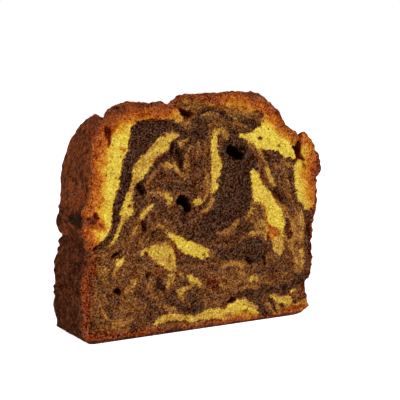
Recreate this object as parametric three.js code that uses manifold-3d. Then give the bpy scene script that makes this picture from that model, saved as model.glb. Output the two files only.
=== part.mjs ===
// One thick slice of a marble loaf cake, standing upright on its base.
//
// Millimetres, +Z up. X runs across the loaf, Y along it. The origin is under
// the middle of the slice, on the table, and the front cut faces -Y.
//
// The slice is a skin of three grids that share their borders: the crust, which
// runs round the section between the two cuts, and the two cut faces. Holes and
// cracks are then cut into that solid.

import * as THREE from 'three';
import { mergeVertices } from 'three/addons/utils/BufferGeometryUtils.js';
import Module from 'manifold-3d';

// ---- driving dimensions ------------------------------------------------

const THICKNESS = 26; // between the two cuts
const FRONT = -THICKNESS / 2; // Y of the front cut
const CELLS_PER_GAP = 2; // crust cells between two stations of the section
const CELLS_DEEP = 9; // crust cells between the cuts

// Relief: how far the crust swells in and out, and how wide its lumps are.
const DOME_LUMP = 0.9;
const DOME_LUMP_SIZE = 9;
const WALL_LUMP = 0.45;
const WALL_LUMP_SIZE = 6;
const DOME_START = 60; // height at which the domed top takes over from the walls
const DOME_FULL = 76;
const BASE_ROUNDING = 3; // the relief dies out over this height above the table

// The cut faces are flat but for the crumb, which sinks in by up to this much,
// and for the patch under the dome where it tore instead of being cut.
const CRUMB_SINK = 0.5;
const CRUMB_SIZE = 7;
const TORN_PATCH = { x: -9.8, z: 80.6, halfWide: 6, halfHigh: 3.8, sink: 2 };
const RIM_CELLS = 4; // cells next to the crust over which the sinking starts

// The section's sides, each a run of stations: x and z at the front cut, then
// x and z at the back cut. The walls run upwards, base and top to the right.
const LEFT_WALL = [
  [-48.4, 1.8, -49.4, 1.0],
  [-50.2, 6.0, -50.1, 5.5],
  [-49.9, 12.0, -50.4, 12.0],
  [-49.6, 17.5, -50.4, 18.0],
  [-48.7, 25.0, -50.2, 24.0],
  [-47.5, 28.5, -49.3, 28.5],
  [-47.2, 33.0, -48.2, 32.7],
  [-47.5, 35.2, -47.2, 34.8], // line of the tin's rim
  [-48.6, 38.0, -48.8, 37.5], // lip that rose over the rim
  [-49.0, 42.0, -48.6, 42.0],
  [-48.6, 47.2, -47.6, 45.4],
  [-46.4, 49.8, -47.4, 50.0],
  [-45.5, 54.0, -47.0, 55.0],
  [-45.2, 61.0, -46.1, 60.6],
  [-44.5, 67.5, -44.4, 67.0],
  [-43.6, 72.5, -42.4, 71.2],
  [-42.6, 76.5, -39.0, 75.0],
];
const RIGHT_WALL = [
  [46.9, 2.8, 46.6, 3.0],
  [45.8, 4.6, 47.2, 5.0],
  [44.3, 7.5, 47.0, 8.0],
  [44.0, 10.5, 46.6, 11.0],
  [44.2, 12.3, 46.6, 12.6], // nick where the crust tore away
  [45.7, 14.6, 46.8, 15.0],
  [46.9, 20.3, 47.2, 21.0],
  [47.4, 28.0, 47.4, 28.0],
  [47.6, 34.6, 46.6, 34.8],
  [48.3, 39.0, 48.2, 38.5],
  [48.6, 44.0, 48.8, 43.0],
  [48.7, 50.3, 48.4, 49.0],
  [49.0, 54.0, 48.8, 54.0],
  [50.4, 56.5, 49.4, 57.0],
  [49.8, 61.0, 48.8, 60.2],
  [48.2, 65.3, 48.4, 62.6],
  [45.5, 69.6, 47.5, 64.0],
];
const TOP = [
  [-42.6, 76.5, -39.0, 75.0],
  [-41.9, 78.4, -33.6, 79.0],
  [-41.0, 78.3, -31.6, 77.3], // lengthwise crack behind the left lip
  [-38.6, 80.5, -29.2, 79.2],
  [-35.5, 82.4, -25.5, 81.2],
  [-30.6, 83.7, -20.5, 82.3],
  [-25.5, 83.0, -14.5, 82.2],
  [-18.0, 83.1, -6.0, 82.0],
  [-15.9, 82.6, -3.6, 81.0], // foot of the split, where the dome burst open
  [-14.3, 84.9, -2.0, 83.4],
  [-11.5, 85.7, 0.5, 84.7],
  [-7.5, 86.6, 3.5, 85.5],
  [3.5, 86.6, 9.0, 86.0],
  [11.0, 87.2, 14.0, 86.0],
  [18.5, 87.1, 20.0, 85.2],
  [24.5, 85.4, 25.8, 82.8],
  [29.8, 80.9, 31.2, 78.2],
  [33.8, 75.3, 36.4, 72.6],
  [38.9, 72.5, 43.2, 68.6],
  [40.3, 70.8, 45.0, 66.4], // crack that parts the right lobe
  [42.4, 72.0, 46.3, 66.4],
  [45.5, 69.6, 47.5, 64.0],
];
const BASE = [
  [-48.4, 1.8, -49.4, 1.0],
  [-46.8, 0.6, -47.0, 0.3],
  [-44.2, 0.0, -44.4, 0.0],
  [40.5, 0.0, 42.0, 0.0],
  [44.6, 0.8, 44.8, 0.9],
  [46.9, 2.8, 46.6, 3.0],
];

// Holes and cracks: centre, half sizes across, deep and up, then the lean in
// the section and the turn seen from above, in degrees.
const POCKETS = [
  { at: [11.9, -11.5, 64.6], half: [3.6, 7.0, 2.6], lean: -18, turn: 0 }, // large air hole
  { at: [-10.1, -11.5, 47.4], half: [2.5, 6.5, 3.0], lean: 25, turn: 0 }, // second air hole
  { at: [10.5, -12.6, 9.0], half: [1.6, 3.0, 0.8], lean: 0, turn: 0 }, // flat hole by the base
  { at: [31.3, -13.4, 47.8], half: [1.3, 2.6, 4.6], lean: 38, turn: 0 }, // furrow in the crumb
  { at: [-8.9, -12.6, 79.9], half: [3.4, 4.0, 1.3], lean: -20, turn: 0 }, // gap under the dome
  { at: [-9.8, 0.0, 82.1], half: [0.9, 15.0, 1.7], lean: 15, turn: -25 }, // split along the top
  { at: [-34.2, 3.0, 77.4], half: [1.0, 12.0, 2.4], lean: 22, turn: -20 }, // crack of the left lip
  { at: [-38.7, -12.4, 72.6], half: [1.1, 5.0, 3.4], lean: 22, turn: 0 }, // its mouth in the cut
  { at: [41.2, -10.0, 66.2], half: [1.3, 8.0, 5.2], lean: -8, turn: -9 }, // crack of the right lobe
];
const POCKET_DETAIL = 3; // how finely a pocket's wall is faceted
const POCKET_ROUGHNESS = 0.3; // how uneven it is, against its size

const CRUST_BROWN = 0x6e4120;

// ---- noise ----------------------------------------------------------------

// A repeatable number from 0 to 1 for each point of a cubic lattice.
function latticeValue(i, j, k) {
  let h = Math.imul(i, 0x27d4eb2d) ^ Math.imul(j, 0x165667b1) ^ Math.imul(k, 0x9e3779b1);
  h = Math.imul(h ^ (h >>> 15), 0x85ebca6b);
  h = Math.imul(h ^ (h >>> 13), 0xc2b2ae35);
  return ((h ^ (h >>> 16)) >>> 0) / 4294967296;
}

// Smooth lumps from -1 to 1, about one unit wide: the lattice values blended.
function lumps(x, y, z) {
  const cell = [Math.floor(x), Math.floor(y), Math.floor(z)];
  const ease = (t) => t * t * (3 - 2 * t);
  const [fx, fy, fz] = [ease(x - cell[0]), ease(y - cell[1]), ease(z - cell[2])];
  let sum = 0;
  for (const [i, wx] of [[0, 1 - fx], [1, fx]]) {
    for (const [j, wy] of [[0, 1 - fy], [1, fy]]) {
      for (const [k, wz] of [[0, 1 - fz], [1, fz]]) {
        sum += wx * wy * wz * latticeValue(cell[0] + i, cell[1] + j, cell[2] + k);
      }
    }
  }
  return 2 * sum - 1;
}

const smoothstep = THREE.MathUtils.smoothstep;
const lerp = THREE.MathUtils.lerp;

// ---- the crust ------------------------------------------------------------

const CELLS_UP = CELLS_PER_GAP * (LEFT_WALL.length - 1);
const CELLS_ACROSS = CELLS_PER_GAP * (TOP.length - 1);

// One side of the section, part of the way from the front cut to the back.
function side(stations, part, cells, evenly) {
  const points = stations.map(([x, z, backX, backZ]) =>
    new THREE.Vector3(lerp(x, backX, part), 0, lerp(z, backZ, part)));
  const curve = new THREE.CatmullRomCurve3(points, false, 'centripetal');
  return evenly ? curve.getSpacedPoints(cells) : curve.getPoints(cells);
}

// The section's outline as one closed loop: along the base, up the right wall,
// back over the top and down the left wall.
function outline(part) {
  const base = side(BASE, part, CELLS_ACROSS, true);
  const right = side(RIGHT_WALL, part, CELLS_UP, false);
  const top = side(TOP, part, CELLS_ACROSS, false);
  const left = side(LEFT_WALL, part, CELLS_UP, false);
  return [
    ...base.slice(0, -1),
    ...right.slice(0, -1),
    ...top.reverse().slice(0, -1),
    ...left.reverse().slice(0, -1),
  ];
}

// How far the crust stands out at a point: small lumps on the walls, larger
// ones on the dome, and none on the base.
function crustRelief(x, y, z) {
  const dome = smoothstep(z, DOME_START, DOME_FULL);
  const onDome = DOME_LUMP * lumps(x / DOME_LUMP_SIZE, y / DOME_LUMP_SIZE, z / DOME_LUMP_SIZE);
  const onWall = WALL_LUMP * lumps(x / WALL_LUMP_SIZE, y / WALL_LUMP_SIZE, z / WALL_LUMP_SIZE);
  return smoothstep(z, 0, BASE_ROUNDING) * lerp(onWall, onDome, dome);
}

// The loop at one depth, moved out along its own normal by the relief and never
// below the table.
function crustLoop(part) {
  const y = lerp(FRONT, -FRONT, part);
  const smooth = outline(part);
  const count = smooth.length;
  return smooth.map((point, i) => {
    const along = smooth[(i + 1) % count].clone().sub(smooth[(i + count - 1) % count]).normalize();
    const relief = crustRelief(point.x, y, point.z);
    const moved = new THREE.Vector3(point.x + along.z * relief, y, point.z - along.x * relief);
    moved.z = Math.max(0, moved.z);
    return moved;
  });
}

// ---- the cut faces ----------------------------------------------------------

// The four sides of a loop, each from its lower or left end.
function sidesOf(loop) {
  const at = (i) => loop[i % loop.length];
  const run = (from, cells) => Array.from({ length: cells + 1 }, (_, i) => at(from + i));
  return {
    base: run(0, CELLS_ACROSS),
    right: run(CELLS_ACROSS, CELLS_UP),
    top: run(CELLS_ACROSS + CELLS_UP, CELLS_ACROSS).reverse(),
    left: run(2 * CELLS_ACROSS + CELLS_UP, CELLS_UP).reverse(),
  };
}

// A point inside the loop: each pair of opposite sides is joined by straight
// lines, the two results are added, and what the corners alone would give is
// taken away.
function inside(sides, i, j) {
  const u = i / CELLS_ACROSS;
  const v = j / CELLS_UP;
  const blend = (axis) => {
    const up = lerp(sides.base[i][axis], sides.top[i][axis], v);
    const across = lerp(sides.left[j][axis], sides.right[j][axis], u);
    const low = lerp(sides.base[0][axis], sides.base[CELLS_ACROSS][axis], u);
    const high = lerp(sides.top[0][axis], sides.top[CELLS_ACROSS][axis], u);
    return up + across - lerp(low, high, v);
  };
  return new THREE.Vector3(blend('x'), sides.base[0].y, blend('z'));
}

// How far the crumb sinks in behind the cut, fading out at the crust. The torn
// patch is a bowl, deepest in its middle, that only the front cut has.
function crumbSink(point, i, j) {
  const rim = Math.min(i, CELLS_ACROSS - i, j, CELLS_UP - j) / RIM_CELLS;
  const soft = 0.5 + 0.5 * lumps(point.x / CRUMB_SIZE, point.y, point.z / CRUMB_SIZE);
  const { x, z, halfWide, halfHigh, sink } = TORN_PATCH;
  const away = Math.hypot((point.x - x) / halfWide, (point.z - z) / halfHigh);
  const torn = point.y < 0 ? sink * Math.max(0, 1 - away ** 2) : 0;
  return CRUMB_SINK * soft * Math.min(1, rim) + torn;
}

// ---- the solid --------------------------------------------------------------

function buildSkin() {
  const loops = Array.from({ length: CELLS_DEEP + 1 }, (_, j) => crustLoop(j / CELLS_DEEP));
  const round = loops[0].length;
  const positions = loops.flat().flatMap((point) => point.toArray());
  const triangles = [];
  const quad = (a, b, c, d) => triangles.push(a, b, c, a, c, d);

  for (let j = 0; j < CELLS_DEEP; j++) {
    for (let i = 0; i < round; i++) {
      const next = (i + 1) % round;
      quad(j * round + i, (j + 1) * round + i, (j + 1) * round + next, j * round + next);
    }
  }

  // A cut face reuses the loop's own points along its rim.
  const face = (loopIndex, inwards) => {
    const loop = loops[loopIndex];
    const sides = sidesOf(loop);
    const first = loopIndex * round;
    const rimIndex = (i, j) => {
      if (j === 0) return first + i;
      if (i === CELLS_ACROSS) return first + CELLS_ACROSS + j;
      if (j === CELLS_UP) return first + 2 * CELLS_ACROSS + CELLS_UP - i;
      return first + ((2 * CELLS_ACROSS + 2 * CELLS_UP - j) % round);
    };
    const index = [];
    for (let j = 0; j <= CELLS_UP; j++) {
      for (let i = 0; i <= CELLS_ACROSS; i++) {
        const onRim = i === 0 || j === 0 || i === CELLS_ACROSS || j === CELLS_UP;
        if (onRim) {
          index.push(rimIndex(i, j));
          continue;
        }
        const point = inside(sides, i, j);
        point.y += inwards * crumbSink(point, i, j);
        index.push(positions.length / 3);
        positions.push(...point.toArray());
      }
    }
    const at = (i, j) => index[j * (CELLS_ACROSS + 1) + i];
    for (let j = 0; j < CELLS_UP; j++) {
      for (let i = 0; i < CELLS_ACROSS; i++) {
        const corners = [at(i, j), at(i + 1, j), at(i + 1, j + 1), at(i, j + 1)];
        quad(...(inwards > 0 ? corners : corners.reverse()));
      }
    }
  };
  face(0, 1);
  face(CELLS_DEEP, -1);

  const geometry = new THREE.BufferGeometry();
  geometry.setAttribute('position', new THREE.Float32BufferAttribute(positions, 3));
  geometry.setIndex(triangles);
  return geometry;
}

// A pocket is an uneven ball, stretched to its half sizes and turned.
function buildPocket({ at, half, lean, turn }) {
  const geometry = new THREE.IcosahedronGeometry(1, POCKET_DETAIL);
  const position = geometry.getAttribute('position');
  const point = new THREE.Vector3();
  for (let i = 0; i < position.count; i++) {
    point.fromBufferAttribute(position, i);
    const uneven = lumps(point.x * 1.5 + at[0], point.y * 1.5 + at[2], point.z * 1.5);
    point.multiplyScalar(1 + POCKET_ROUGHNESS * uneven);
    position.setXYZ(i, point.x * half[0], point.y * half[1], point.z * half[2]);
  }
  geometry.rotateY(-THREE.MathUtils.degToRad(lean));
  geometry.rotateZ(THREE.MathUtils.degToRad(turn));
  geometry.translate(...at);
  return geometry;
}

const wasm = await Module();
wasm.setup();

function toSolid(geometry) {
  geometry.deleteAttribute('normal');
  geometry.deleteAttribute('uv');
  const merged = mergeVertices(geometry, 1e-3);
  return new wasm.Manifold(new wasm.Mesh({
    numProp: 3,
    vertProperties: new Float32Array(merged.getAttribute('position').array),
    triVerts: new Uint32Array(merged.getIndex().array),
  }));
}

// The largest of the bodies that a cut leaves, so that no loose crumb is kept.
function largestBody(solid) {
  return solid.decompose().reduce((best, body) => (body.volume() > best.volume() ? body : best));
}

function toGeometry(solid) {
  const { vertProperties, triVerts } = solid.getMesh();
  const geometry = new THREE.BufferGeometry();
  geometry.setAttribute('position', new THREE.BufferAttribute(vertProperties, 3));
  geometry.setIndex(new THREE.BufferAttribute(triVerts, 1));
  geometry.computeVertexNormals();
  return geometry;
}

let cake = toSolid(buildSkin());
for (const pocket of POCKETS) {
  cake = cake.subtract(toSolid(buildPocket(pocket)));
}

// The middle of the box goes over the origin.
const geometry = toGeometry(largestBody(cake));
geometry.computeBoundingBox();
const middle = geometry.boundingBox.getCenter(new THREE.Vector3());
geometry.translate(-middle.x, -middle.y, -geometry.boundingBox.min.z);

const slice = new THREE.Mesh(geometry, new THREE.MeshStandardMaterial({
  color: CRUST_BROWN,
  roughness: 0.9,
  metalness: 0,
}));
slice.name = 'cake_slice';

const group = new THREE.Group();
group.add(slice);

export default group;
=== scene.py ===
"""One thick slice of a marble loaf cake, standing upright on its baked base.

The slice is one closed skin: a band of crust that runs round the section from
the front cut to the back cut, and the two cut faces, which share the band's
rims. Its relief is in the mesh: lumps and clefts of the crust, pores, holes and
tears of the crumb. The marbling, some of whose dark strokes paint shade in holes
and gaps, the browning, and the painted shade of hollows and clefts are fields
worked out at every vertex, and the finish reads them.
"""
import math

import bpy
import numpy as np
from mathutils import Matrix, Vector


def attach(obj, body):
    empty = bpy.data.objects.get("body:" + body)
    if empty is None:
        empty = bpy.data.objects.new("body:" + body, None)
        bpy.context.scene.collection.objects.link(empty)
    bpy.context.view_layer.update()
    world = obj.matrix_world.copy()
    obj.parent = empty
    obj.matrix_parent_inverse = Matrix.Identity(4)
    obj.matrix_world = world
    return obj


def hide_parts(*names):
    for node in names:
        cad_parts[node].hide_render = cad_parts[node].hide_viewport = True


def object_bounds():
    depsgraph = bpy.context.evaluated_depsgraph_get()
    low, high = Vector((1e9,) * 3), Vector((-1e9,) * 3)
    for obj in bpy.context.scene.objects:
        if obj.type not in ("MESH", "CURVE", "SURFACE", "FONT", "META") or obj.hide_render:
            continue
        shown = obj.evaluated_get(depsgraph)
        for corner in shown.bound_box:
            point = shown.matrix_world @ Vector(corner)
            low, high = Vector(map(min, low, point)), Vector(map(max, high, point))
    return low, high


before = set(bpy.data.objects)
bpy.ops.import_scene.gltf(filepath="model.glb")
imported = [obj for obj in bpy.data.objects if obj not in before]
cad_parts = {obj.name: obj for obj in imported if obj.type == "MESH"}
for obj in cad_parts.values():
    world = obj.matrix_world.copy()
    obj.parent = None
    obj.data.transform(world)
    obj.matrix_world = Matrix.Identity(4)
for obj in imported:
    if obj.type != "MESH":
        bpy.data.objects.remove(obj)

CAD_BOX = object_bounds()

# ---- sizes, in millimetres -------------------------------------------------

MM = 0.001
THICKNESS = round((CAD_BOX[1][1] - CAD_BOX[0][1]) / MM, 3)  # from cut to cut
FRONT = -THICKNESS / 2
CELLS_ACROSS = 190  # cells along the base and along the top
CELLS_UP = 168  # cells along each wall
CELLS_DEEP = 46  # cells of the crust between the cuts
STATIONS_SHIFT = 0.25  # the stations are laid out this far left of the frame's middle
MIDDLE_OF_BASE = -1.9  # X of the point that the marbling is laid out from

# The section's sides, each a run of stations: x and z at the front cut, then
# x and z at the back cut. The walls run upwards, base and top to the right.
BASE_LEFT, BASE_RIGHT = (-48.7, 1.8, -49.8, 0.9), (46.7, 2.6, 46.8, 2.9)
TOP_LEFT, TOP_RIGHT = (-42.6, 76.5, -39.2, 75.4), (45.5, 69.6, 47.5, 64)
LEFT_WALL = [
    BASE_LEFT, (-50.2, 6, -50.1, 5.5), (-49.9, 12, -50.4, 12),
    (-49.6, 17.5, -50.4, 18), (-48.7, 25, -50.2, 24), (-47.5, 28.5, -49.3, 28.5),
    (-47.2, 33, -48.2, 32.7), (-47.5, 35.2, -47.2, 34.8), (-48.6, 38, -48.8, 37.5),
    (-49, 42, -48.6, 42), (-48.6, 47.2, -47.6, 45.4), (-46.4, 49.8, -47.4, 50),
    (-45.5, 54, -47, 55), (-45.2, 61, -46.1, 60.6), (-44.5, 67.5, -44.4, 67),
    (-43.6, 72.5, -42.6, 71.2), TOP_LEFT,
]
RIGHT_WALL = [
    BASE_RIGHT, (46.3, 4.4, 47.2, 5), (45.2, 7.4, 47, 8), (44.6, 10.2, 46.6, 11),
    (44.5, 12.2, 46.6, 12.6), (46.3, 14.4, 46.8, 15), (47.2, 20.3, 47.2, 21),
    (47.4, 28, 47.4, 28), (47.6, 34.6, 46.6, 34.8), (48.3, 39, 48.2, 38.5),
    (48.6, 44, 48.8, 43), (48.8, 50.3, 48.4, 49), (49.4, 54, 48.8, 54),
    (51.0, 56.5, 49.4, 57), (50.5, 61, 48.8, 60.2), (48.9, 65.3, 48.4, 62.6), TOP_RIGHT,
]
TOP = [
    TOP_LEFT, (-41.3, 78.4, -33.0, 79.3), (-40.6, 78.5, -30.8, 77.6),
    (-38.1, 80.9, -28.0, 79.8), (-34.9, 82.6, -25.1, 81.5), (-30.2, 84.0, -20.2, 82.6),
    (-25.5, 83.4, -14.5, 82.4), (-19, 83.2, -7, 81.8), (-15.9, 82.7, -4.0, 80.6),
    (-13.9, 83.6, -1.8, 82.4), (-11.6, 85.2, 0.6, 83.8), (-7.5, 86.2, 3.5, 85),
    (3.5, 86.2, 9, 85.6), (11, 86.9, 14, 85.8), (18.5, 86.9, 20, 85.2), (24.8, 85.4, 25.8, 82.8),
    (30.6, 81.2, 31.6, 78.2), (34.6, 75.9, 36.4, 72.6), (38.9, 72.9, 43.2, 68.6),
    (40.3, 70.8, 45, 66.4), (42.4, 72, 46.3, 66.4), TOP_RIGHT,
]
BASE = [
    BASE_LEFT, (-47.3, 0.6, -48.7, 0.2), (-45.0, 0, -46.8, 0),
    (38.4, 0, 40, 0), (43.4, 0.9, 44.2, 0.9), BASE_RIGHT,
]

# Clefts that run from cut to cut over the top: x and z at the front, x and z at
# the back, half width, depth.
CLEFTS = [
    (-40.6, 78.6, -30.8, 77.6, 1.2, 0.5),  # behind the left lip
    (-15.8, 82.8, -4.0, 80.8, 1.4, 0.4),  # where the dome burst open
    (40.3, 70.8, 45.0, 66.4, 1.3, 3.4),  # parts the right lobe
]

DEEP_CLEFT = 2.5  # from this depth on a cleft has its full painted shade and shows bare crumb
PAINTED_CLEFT_SHADE = 0.25  # that full painted shade, where 1 is that of the deepest hollow

# Heights on the crust, each as where a change begins and where it is complete.
OFF_THE_TABLE = (0, 3)  # the relief grows from nothing
CALM_BEGINS, CALM_ENDS = (46, 52), (70, 78)  # smooth skin on the left, above the tin
DOME = (60, 76)  # the wide lumps grow
REDDER = (4, 30)  # the skin's edge next to the front cut comes to be redder, less baked
LIP_HEIGHT = 42  # where the left side rose over the rim of the tin

# Marks on the crust of the left side, as ovals: y and z of the middle, half sizes.
LIP_DARK_PATCH = ((-9.5, 43.4), (5.0, 2.2))  # much darker skin
LIP_TEAR = ((-12, 43.0), (7.0, 4.6))  # torn open, in paler shreds
SCUFF = ((-2.0, 50), (6.0, 3.4))  # rubbed a little paler

# The crust round the section: x and z of a place on it, how far browning reaches
# in from there, how baked the cut's edge is and how baked the skin is.
RIM = [
    (-40, 0, 5.0, 0.86, 0.96), (-30, 0, 4.4, 0.90, 0.96), (-20, 0, 3.8, 0.88, 0.96),
    (-6, 0, 3.0, 0.76, 0.96), (6, 0, 3.0, 0.64, 0.96), (20, 0, 4.0, 0.58, 0.94),
    (30, 0, 3.0, 0.58, 0.92), (40, 0, 3.4, 0.34, 0.84), (48, 3, 4.6, 0.36, 0.50),
    (46, 11, 1.6, 0.42, 0.80), (49, 22, 1.8, 0.50, 0.90), (49, 30, 2.4, 0.62, 0.90),
    (50, 38, 3.6, 0.70, 0.84), (50.4, 42, 4.0, 0.60, 0.78), (50.8, 45, 5.5, 0.42, 0.70),
    (50.8, 49, 7.0, 0.44, 0.70), (51, 53, 9.0, 0.66, 0.74), (52.2, 57, 12.0, 0.76, 0.78),
    (51.6, 61, 10.0, 0.64, 0.74), (49, 66, 7.0, 0.44, 0.64), (46.6, 71, 6.0, 0.48, 0.66),
    (41.6, 72, 5.5, 0.66, 0.72), (36, 76, 6.6, 0.70, 0.76), (30, 82, 9.0, 0.67, 0.80),
    (26, 84.8, 8.0, 0.64, 0.84), (22, 86.6, 6.2, 0.88, 0.88), (18, 87.6, 6.0, 0.64, 0.86),
    (14, 87.4, 5.4, 0.36, 0.76), (10, 87, 6.6, 0.54, 0.80), (2, 87, 5.0, 0.30, 0.74),
    (-5, 86.5, 4.0, 0.24, 0.68), (-12, 85, 4.0, 0.36, 0.64), (-14, 83, 7.0, 0.54, 0.66),
    (-18, 83.5, 7.4, 0.69, 0.78), (-26, 83.3, 7.4, 0.74, 0.82), (-33, 82.5, 8.4, 0.85, 0.82),
    (-38, 79.5, 8.6, 0.82, 0.84), (-41, 72.5, 7.6, 0.64, 0.81), (-42.3, 67, 8.4, 0.60, 0.81),
    (-43, 61, 6.8, 0.66, 0.87), (-43.4, 54, 6.6, 0.63, 0.83), (-44.5, 49, 7.6, 0.62, 0.83),
    (-47.4, 43, 9.0, 0.84, 0.92), (-46, 38, 7.0, 0.70, 0.92), (-45.3, 34, 6.0, 0.86, 0.96),
    (-46.4, 26, 5.0, 0.82, 0.98), (-47.4, 20, 5.0, 0.82, 0.98), (-47.8, 14, 5.0, 0.88, 0.99),
    (-48, 8, 5.6, 0.86, 0.99),
]

# ---- marbling ----------------------------------------------------------------

YELLOW, COCOA = 0.04, 0.88  # cocoa in the two batters
GROUND = 0.54  # cocoa where no stroke lies
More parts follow.
